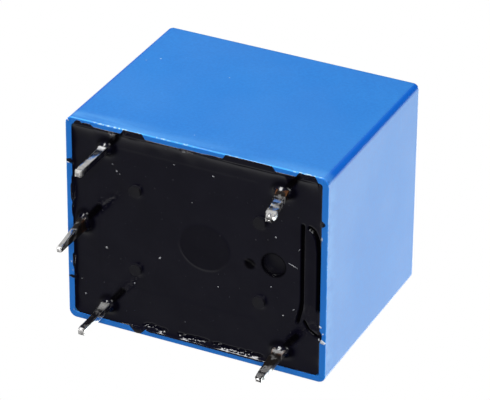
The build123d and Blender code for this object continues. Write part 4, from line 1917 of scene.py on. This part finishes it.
@dataclass
class DustScatter(SubAssembly):
    """Fine dust strewn over the resin's flat part by Geometry Nodes."""

    seal: ResinSeal
    material: Look
    spread: tuple[float, float, float, float] = (-8.6, -6.6, 7.5, 6.5)
    step: float = 0.25
    clear: float = 0.75
    vent_clear: float = 1.3
    density: float = 4.5e5
    sizes: Span = (0.006, 0.022)

    def _patch(self) -> Piece:
        """A patch that follows the resin, open round the pins, the standoffs and the vent.

        Returns:
            The new piece, which the dust then takes the place of.
        """
        x0, y0, x1, y1 = self.spread
        x, y = np.meshgrid(np.arange(x0, x1, self.step), np.arange(y0, y1, self.step), indexing="ij")
        z = self.seal.rim_z - self.seal.height(x, y)
        points = np.stack([x, y, z], axis=-1).reshape(-1, 3)
        quads = grid_quads(*x.shape)
        to_vent = np.hypot(points[:, 0] - self.seal.vent[0], points[:, 1] - self.seal.vent[1])
        taken = to_vent < self.vent_clear
        for pin in self.seal.pins:
            taken |= pin.distance(points[:, 0], points[:, 1]) < self.clear
        for place_x, place_y in self.seal.standoffs:
            taken |= np.hypot(points[:, 0] - place_x, points[:, 1] - place_y) < self.clear
        faces = [tuple(q) for q in quads[~taken[quads].any(axis=1)].tolist()]
        return mesh_piece("dust_scatter", points, faces)

    def build(self) -> Piece:
        """Strew the dust.

        Returns:
            The new piece.
        """
        grower = Grower("strewn_dust", {
            "Density": "Float", "Least": "Float", "Most": "Float", "Seed": "Int", "Material": "Material",
        })
        given = grower.given
        places = grower.node(
            "GeometryNodeDistributePointsOnFaces", {}, Mesh=given["Geometry"], Density=given["Density"],
            Seed=given["Seed"],
        )
        grain = grower.node("GeometryNodeMeshIcoSphere", {}, Radius=1.0, Subdivisions=1)
        size = grower.node("FunctionNodeRandomValue", {"data_type": "FLOAT_VECTOR"}, Seed=given["Seed"])
        for socket, name in ((size.inputs[0], "Least"), (size.inputs[1], "Most")):
            grower.graph.feed(socket, given[name])
        strewn = grower.node(
            "GeometryNodeInstanceOnPoints", {}, Points=places.outputs["Points"],
            Instance=grain.outputs["Mesh"], Rotation=places.outputs["Rotation"], Scale=size.outputs[0],
        )
        grower.close(strewn.outputs["Instances"])
        return grower.grow(self._patch(), {
            "Density": self.density,
            "Least": self.sizes[0] * MM,
            "Most": self.sizes[1] * MM,
            "Seed": SEED,
            "Material": self.material,
        })


@dataclass
class SpringLeaf(SubAssembly):
    """The contact spring as a leaf, with its bend between the yoke and the armature."""

    node: str = "contact_spring"
    held_by: str = "yoke_rivets"
    carried_by: str = "armature_rivets"
    cuts: int = 14
    weld: float = 1e-7

    def bend(self) -> tuple[Vector, Vector]:
        """Where the leaf leaves the yoke's rivets, and where the armature's rivets take it up.

        Returns:
            Both ends of the bend, in metres.
        """
        low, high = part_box(self.node)
        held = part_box(self.held_by)[1]
        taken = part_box(self.carried_by)[0]
        return Vector((low.x, 0.0, held.z)), Vector((taken.x, 0.0, high.z))

    def build(self) -> Piece:
        """Copy the spring's mesh and cut it across the bend, so that it can turn smoothly.

        Returns:
            The new piece.
        """
        start, end = self.bend()
        form = bmesh.new()
        form.from_mesh(frame["nodes"][self.node].data)
        bmesh.ops.remove_doubles(form, verts=form.verts, dist=self.weld)
        across = (end - start).normalized()
        for share in np.linspace(0.0, 1.0, self.cuts):
            everything = form.verts[:] + form.edges[:] + form.faces[:]
            bmesh.ops.bisect_plane(form, geom=everything, plane_co=start.lerp(end, share), plane_no=across)
        mesh = bpy.data.meshes.new("spring_leaf")
        form.to_mesh(mesh)
        form.free()
        leaf = bpy.data.objects.new("spring_leaf", mesh)
        bpy.context.scene.collection.objects.link(leaf)
        return leaf


@dataclass(frozen=True)
class Softbox:
    """A soft lamp that faces the part."""

    name: str
    direction: Colour
    distance: float
    size: Span
    radiance: float
    tint: Colour = (1.0, 1.0, 1.0)

    def build(self, centre: Vector) -> Piece:
        """Hang the lamp, unseen by the camera.

        Args:
            centre: The point that it faces.

        Returns:
            The lamp.
        """
        data = bpy.data.lights.new(self.name, "AREA")
        data.shape = "RECTANGLE"
        data.size, data.size_y = self.size
        data.energy = 4.0 * self.radiance * self.size[0] * self.size[1]
        data.color = self.tint
        lamp = bpy.data.objects.new(self.name, data)
        away = Vector(self.direction).normalized()
        lamp.location = centre + away * self.distance
        lamp.rotation_mode = "QUATERNION"
        lamp.rotation_quaternion = away.to_track_quat("Z", "Y")
        lamp.visible_camera = False
        bpy.context.scene.collection.objects.link(lamp)
        return lamp


@dataclass
class Studio:
    """Pale floor, soft light and the camera that looks at the pin side from below."""

    azimuth: float = 36.8519
    elevation: float = -51.2125
    roll: float = -44.3145
    distance: float = 225.5217
    target: tuple[float, float, float] = (2.2228, -2.8643, 3.0634)
    lens: float = 251.457
    sensor: float = 36.0
    floor_half: float = 0.9
    sweep: Span = (0.025, 0.11)
    floor_colour: Colour = (0.86, 0.86, 0.86)
    floor_shade: Colour = (0.90, 0.90, 0.90)
    floor_roughness: float = 0.8
    floor_clouds: float = 6.0
    slant: tuple[float, float, float] = (0.25, 0.5, 0.6)
    backdrop: tuple[float, float, float] = (-0.376, 0.501, 0.780)
    backdrop_span: Span = (0.82, 0.97)
    flag: tuple[float, float, float] = (0.55, 0.50, -0.67)
    flag_span: Span = (0.58, 0.86)
    flag_shade: float = 0.08
    sky: tuple[Span, ...] = (
        (-0.95, 0.06),
        (-0.31, 0.17),
        (0.03, 0.57),
        (0.13, 0.57),
        (0.27, 0.05),
        (0.55, 0.05),
        (1.00, 0.24),
    )
    boxes: tuple[Softbox, ...] = (
        Softbox("key_box", (-0.38, -0.92, -0.04), 0.30, (0.12, 0.14), 13.6),
        Softbox("pin_side_box", (0.376, -0.501, -0.780), 0.30, (0.10, 0.10), 9.5),
        Softbox("end_box", (0.90, 0.40, 0.20), 0.30, (0.10, 0.10), 14.8),
        Softbox("roof_box", (0.40, 0.52, 0.76), 0.25, (0.24, 0.24), 1.55, (0.90, 1.0, 1.0)),
        Softbox("back_box", (-0.75, 0.55, 0.35), 0.30, (0.12, 0.12), 1.6),
    )

    def build(self) -> None:
        """Set the stage."""
        scene = bpy.context.scene
        scene.view_settings.view_transform = "Standard"
        low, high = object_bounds()
        centre = (low + high) / 2
        self._floor(low.z)
        self._world(scene)
        for box in self.boxes:
            box.build(centre)
        self._camera(scene)

    def _camera(self, scene: bpy.types.Scene) -> None:
        """Place the camera by azimuth, elevation and roll round its target.

        Args:
            scene: The scene that it looks at.
        """
        data = bpy.data.cameras.new("pin_side_camera")
        data.sensor_fit = "HORIZONTAL"
        data.sensor_width = self.sensor
        data.lens = self.lens
        data.clip_start = 0.01
        camera = bpy.data.objects.new("pin_side_camera", data)
        a, e, r = (math.radians(v) for v in (self.azimuth, self.elevation, self.roll))
        back = Vector((math.sin(a) * math.cos(e), -math.cos(a) * math.cos(e), math.sin(e)))
        level_right = Vector((math.cos(a), math.sin(a), 0.0))
        level_up = back.cross(level_right)
        up = level_up * math.cos(r) + level_right * math.sin(r)
        right = up.cross(back)
        turn = Matrix((right, up, back)).transposed().to_4x4()
        place = Vector(self.target) + back * self.distance
        camera.matrix_world = Matrix.Translation(place * MM) @ turn
        scene.collection.objects.link(camera)
        scene.camera = camera

    def _floor(self, level: float) -> None:
        """Lay the floor, which keeps the part's shadow and fades to white. From below it isn't seen.

        Args:
            level: Height of the floor in metres.
        """
        half = self.floor_half / MM
        z = level / MM
        corners = np.array([(-half, -half, z), (half, -half, z), (half, half, z), (-half, half, z)])
        floor = mesh_piece("floor", corners, [(0, 1, 2, 3)])
        material = bpy.data.materials.new("pale_floor")
        material.use_nodes = True
        graph = Graph(material.node_tree)
        shader = material.node_tree.nodes["Principled BSDF"]
        where = graph.add("ShaderNodeTexCoord").outputs["Object"]
        cloud = graph.noise(where, self.floor_clouds, detail=2.0)
        graph.shade(
            Base_Color=graph.mix(cloud, self.floor_colour, self.floor_shade), Roughness=self.floor_roughness
        )
        apart = graph.add("ShaderNodeVectorMath", operation="LENGTH")
        graph.feed(apart.inputs[0], where)
        white = graph.add("ShaderNodeEmission").outputs[0]
        fade = graph.rise(apart.outputs["Value"], *self.sweep)
        sweep = graph.choose(fade, shader.outputs[0], white)
        behind = graph.add("ShaderNodeNewGeometry").outputs["Backfacing"]
        clear = graph.add("ShaderNodeBsdfTransparent").outputs[0]
        surface = material.node_tree.nodes["Material Output"].inputs["Surface"]
        graph.feed(surface, graph.choose(behind, sweep, clear))
        dress(floor, material)
        for ray in ("diffuse", "glossy", "transmission", "shadow"):
            setattr(floor, "visible_" + ray, False)
        floor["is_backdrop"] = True

    def _world(self, scene: bpy.types.Scene) -> None:
        """Make the surroundings: a white backdrop, a dark flag, and a slanted soft gradient elsewhere.

        Args:
            scene: The scene that it surrounds.
        """
        world = bpy.data.worlds.new("white_studio")
        world.use_nodes = True
        scene.world = world
        graph = Graph(world.node_tree)
        light = world.node_tree.nodes["Background"]
        seen = graph.add("ShaderNodeBackground")
        seen.inputs["Color"].default_value = WHITE
        seen.inputs["Strength"].default_value = 1.0
        ray = graph.add("ShaderNodeTexCoord").outputs["Generated"]
        slanted = graph.dot(ray, self.slant)
        level: Feed = self.sky[0][1]
        for (low, bottom), (high, top) in zip(self.sky, self.sky[1:]):
            level = graph.math("ADD", level, graph.rise(slanted, low, high, 0.0, top - bottom))
        shaded = graph.rise(graph.dot(ray, self.flag), *self.flag_span, 1.0, self.flag_shade)
        light.inputs["Color"].default_value = WHITE
        graph.feed(light.inputs["Strength"], graph.product(level, shaded))
        path = graph.add("ShaderNodeLightPath").outputs
        behind = graph.rise(graph.dot(ray, self.backdrop), *self.backdrop_span)
        direct = graph.math("MAXIMUM", path["Is Camera Ray"], path["Is Transmission Ray"])
        direct = graph.math("MAXIMUM", direct, graph.product(path["Is Glossy Ray"], behind))
        surface = world.node_tree.nodes["World Output"].inputs["Surface"]
        graph.feed(surface, graph.choose(direct, light.outputs[0], seen.outputs[0]))



COAT_STYLES = {
    "coil_pin_a": CoatStyle(
        Tip.BLUNT, 31, coat=0.020, lumps=0.006, facet=0.60, tarnish=(0.0, 0.05, 0.0), bead=0.015, flare=0.06
    ),
    "coil_pin_b": CoatStyle(
        Tip.BLUNT, 32, coat=0.020, lumps=0.008, facet=1.00, tarnish=(0.05, 0.10, 0.0), bead=0.010, flare=0.09
    ),
    "com_terminal": CoatStyle(
        Tip.POINT, 33, coat=0.018, lumps=0.006, facet=0.30, tarnish=(0.45, 1.00, 1.00), bare=0.5
    ),
    "nc_terminal": CoatStyle(
        Tip.BEAD, 34, coat=0.030, lumps=0.012, facet=0.30, tarnish=(0.0, 0.50, 0.85),
        ripple=0.007, bead=0.130, bare=0.7,
    ),
    "no_terminal": CoatStyle(
        Tip.ROUND, 35, coat=0.026, lumps=0.010, facet=0.50, tarnish=(0.30, 1.00, 0.0),
        ripple=0.004, bead=0.010, flare=0.07, bare=1.0,
    ),
}

DUST = (
    Crumb(1.27, -5.80, 0.26, 0.10, 10.0),
    Crumb(-5.85, -4.40, 0.20, 0.16, 40.0),
    Crumb(-5.62, -4.24, 0.10, 0.08, 70.0),
    Crumb(-6.15, -4.85, 0.18, 0.07, 20.0),
    Crumb(5.80, -2.40, 0.16, 0.13, 30.0),
    Crumb(7.50, -1.90, 0.28, 0.05, 115.0),
    Crumb(5.50, 1.45, 0.22, 0.07, 140.0),
    Crumb(6.40, 3.40, 0.14, 0.11, 10.0),
    Crumb(7.15, 2.75, 0.24, 0.06, 130.0),
    Crumb(-4.60, 3.90, 0.16, 0.12, 80.0),
    Crumb(-8.35, 5.75, 0.20, 0.12, 85.0),
    Crumb(-8.60, 4.60, 0.16, 0.06, 160.0),
    Crumb(-6.70, 1.70, 0.22, 0.12, 30.0),
    Crumb(-2.70, 1.45, 0.24, 0.16, 150.0),
    Crumb(1.62, 2.50, 0.12, 0.07, 30.0),
    Crumb(-1.60, -5.95, 0.16, 0.06, 20.0),
    Crumb(-0.85, -7.15, 0.34, 0.10, 175.0),
    Crumb(7.05, -0.60, 0.75, 0.05, 22.0),
    Crumb(-0.28, -3.45, 0.08, 0.06, 0.0),
)

CHIPS_AND_HIGHLIGHT = (
    Crumb(9.32, 4.60, 0.52, 0.34, 25.0),
    Crumb(9.10, 4.45, 0.22, 0.12, 60.0),
    # A painted highlight across the rim's corner, made as a pale fleck.
    Crumb(-9.36, -7.50, 0.26, 0.06, 60.0),
    Crumb(9.16, -3.20, 0.10, 0.30, 5.0),
    Crumb(9.16, 3.45, 0.24, 0.14, 30.0),
    Crumb(9.36, 3.95, 0.14, 0.10, 80.0),
    Crumb(-9.40, -4.28, 0.30, 0.06, 5.0),
    Crumb(-9.30, 3.40, 0.08, 0.18, 5.0),
)


def finishes(effects: Effects) -> dict[str, Look]:
    """Build the material of each finish.

    Args:
        effects: The shared effects.

    Returns:
        The materials by the name of the record's slot, and three more for dust and for chips, among them a
        painted highlight.
    """
    made = {
        "cover_plastic": CoverPlastic("blue_cover_plastic", (0.009, 0.167, 0.555), 0.36),
        "base_plastic": SealingResin("black_base_plastic", (0.010, 0.0098, 0.012), 0.42),
        "resin": SealingResin("black_sealing_resin", (0.0030, 0.0025, 0.0108), 0.13, has_painted_shade=True),
        "tinned_copper": TinnedMetal("solder_coat", (0.66, 0.65, 0.64), 0.15),
        "tinned_wire": InnerMetal("tinned_wire", (0.68, 0.67, 0.65), 0.3, (0.78, 0.77, 0.75)),
        "plated_steel": InnerMetal("plated_steel", (0.55, 0.55, 0.54), 0.32, (0.66, 0.66, 0.64)),
        "bobbin_plastic": InnerPlastic("bobbin_plastic", (0.72, 0.70, 0.62), 0.45, (0.78, 0.76, 0.69)),
        "enamelled_copper": InnerMetal("enamelled_copper", (0.60, 0.22, 0.07), 0.25, (0.72, 0.30, 0.10)),
        "spring_brass": InnerMetal("spring_brass", (0.72, 0.45, 0.20), 0.28, (0.80, 0.54, 0.27)),
        "contact_silver": InnerMetal("contact_silver", (0.86, 0.85, 0.82), 0.22, (0.78, 0.77, 0.74)),
        "dust": Fleck("pale_dust", (0.60, 0.60, 0.62), 0.7, (0.34, 0.36, 0.40)),
        "fine_dust": Fleck("fine_dust", (0.30, 0.30, 0.33), 0.8, (0.12, 0.14, 0.18)),
        "chips": Fleck("chipped_plastic_and_highlight", (0.92, 0.94, 0.97), 0.5, (0.74, 0.82, 0.94)),
    }
    return {slot: finish.material(effects) for slot, finish in made.items()}


def main() -> None:
    """Build and dress the relay, then set the stage round it."""
    logging.basicConfig(level=logging.INFO, format="%(name)s: %(message)s")
    looks = finishes(Effects())
    for row in frame["record"]["subparts"]:
        dress(frame["nodes"][row["node"]], looks[row["material_slot"]])
    pins = [Pin(node) for node in COAT_STYLES]
    seal = ResinSeal(pins)
    resin = seal.add(looks["resin"], "resin")
    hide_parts("sealing_resin")
    for pin in pins:
        PinCoat(pin, COAT_STYLES[pin.node]).add(looks["tinned_copper"], "tinned_copper")
    dust = Crumbs("dust_flecks", DUST, lambda x, y: seal.rim_z - seal.height(x, y))
    dust.add(looks["dust"], "resin")
    chips = Crumbs("rim_chips_and_highlight", CHIPS_AND_HIGHLIGHT, lambda x, y: np.full(np.shape(x), seal.rim_z), thickness=0.06)
    chips.add(looks["chips"], "cover_plastic")
    DustScatter(seal, looks["fine_dust"]).add(looks["fine_dust"], "resin")
    CoilTurns(looks["enamelled_copper"]).add(looks["enamelled_copper"], "enamelled_copper")
    spring = SpringLeaf()
    leaf = spring.build()
    spring.dress(leaf, looks["spring_brass"])
    start, end = spring.bend()
    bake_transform(leaf)
    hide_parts(spring.node)
    Studio().build()


if __name__ == "__main__":
    main()
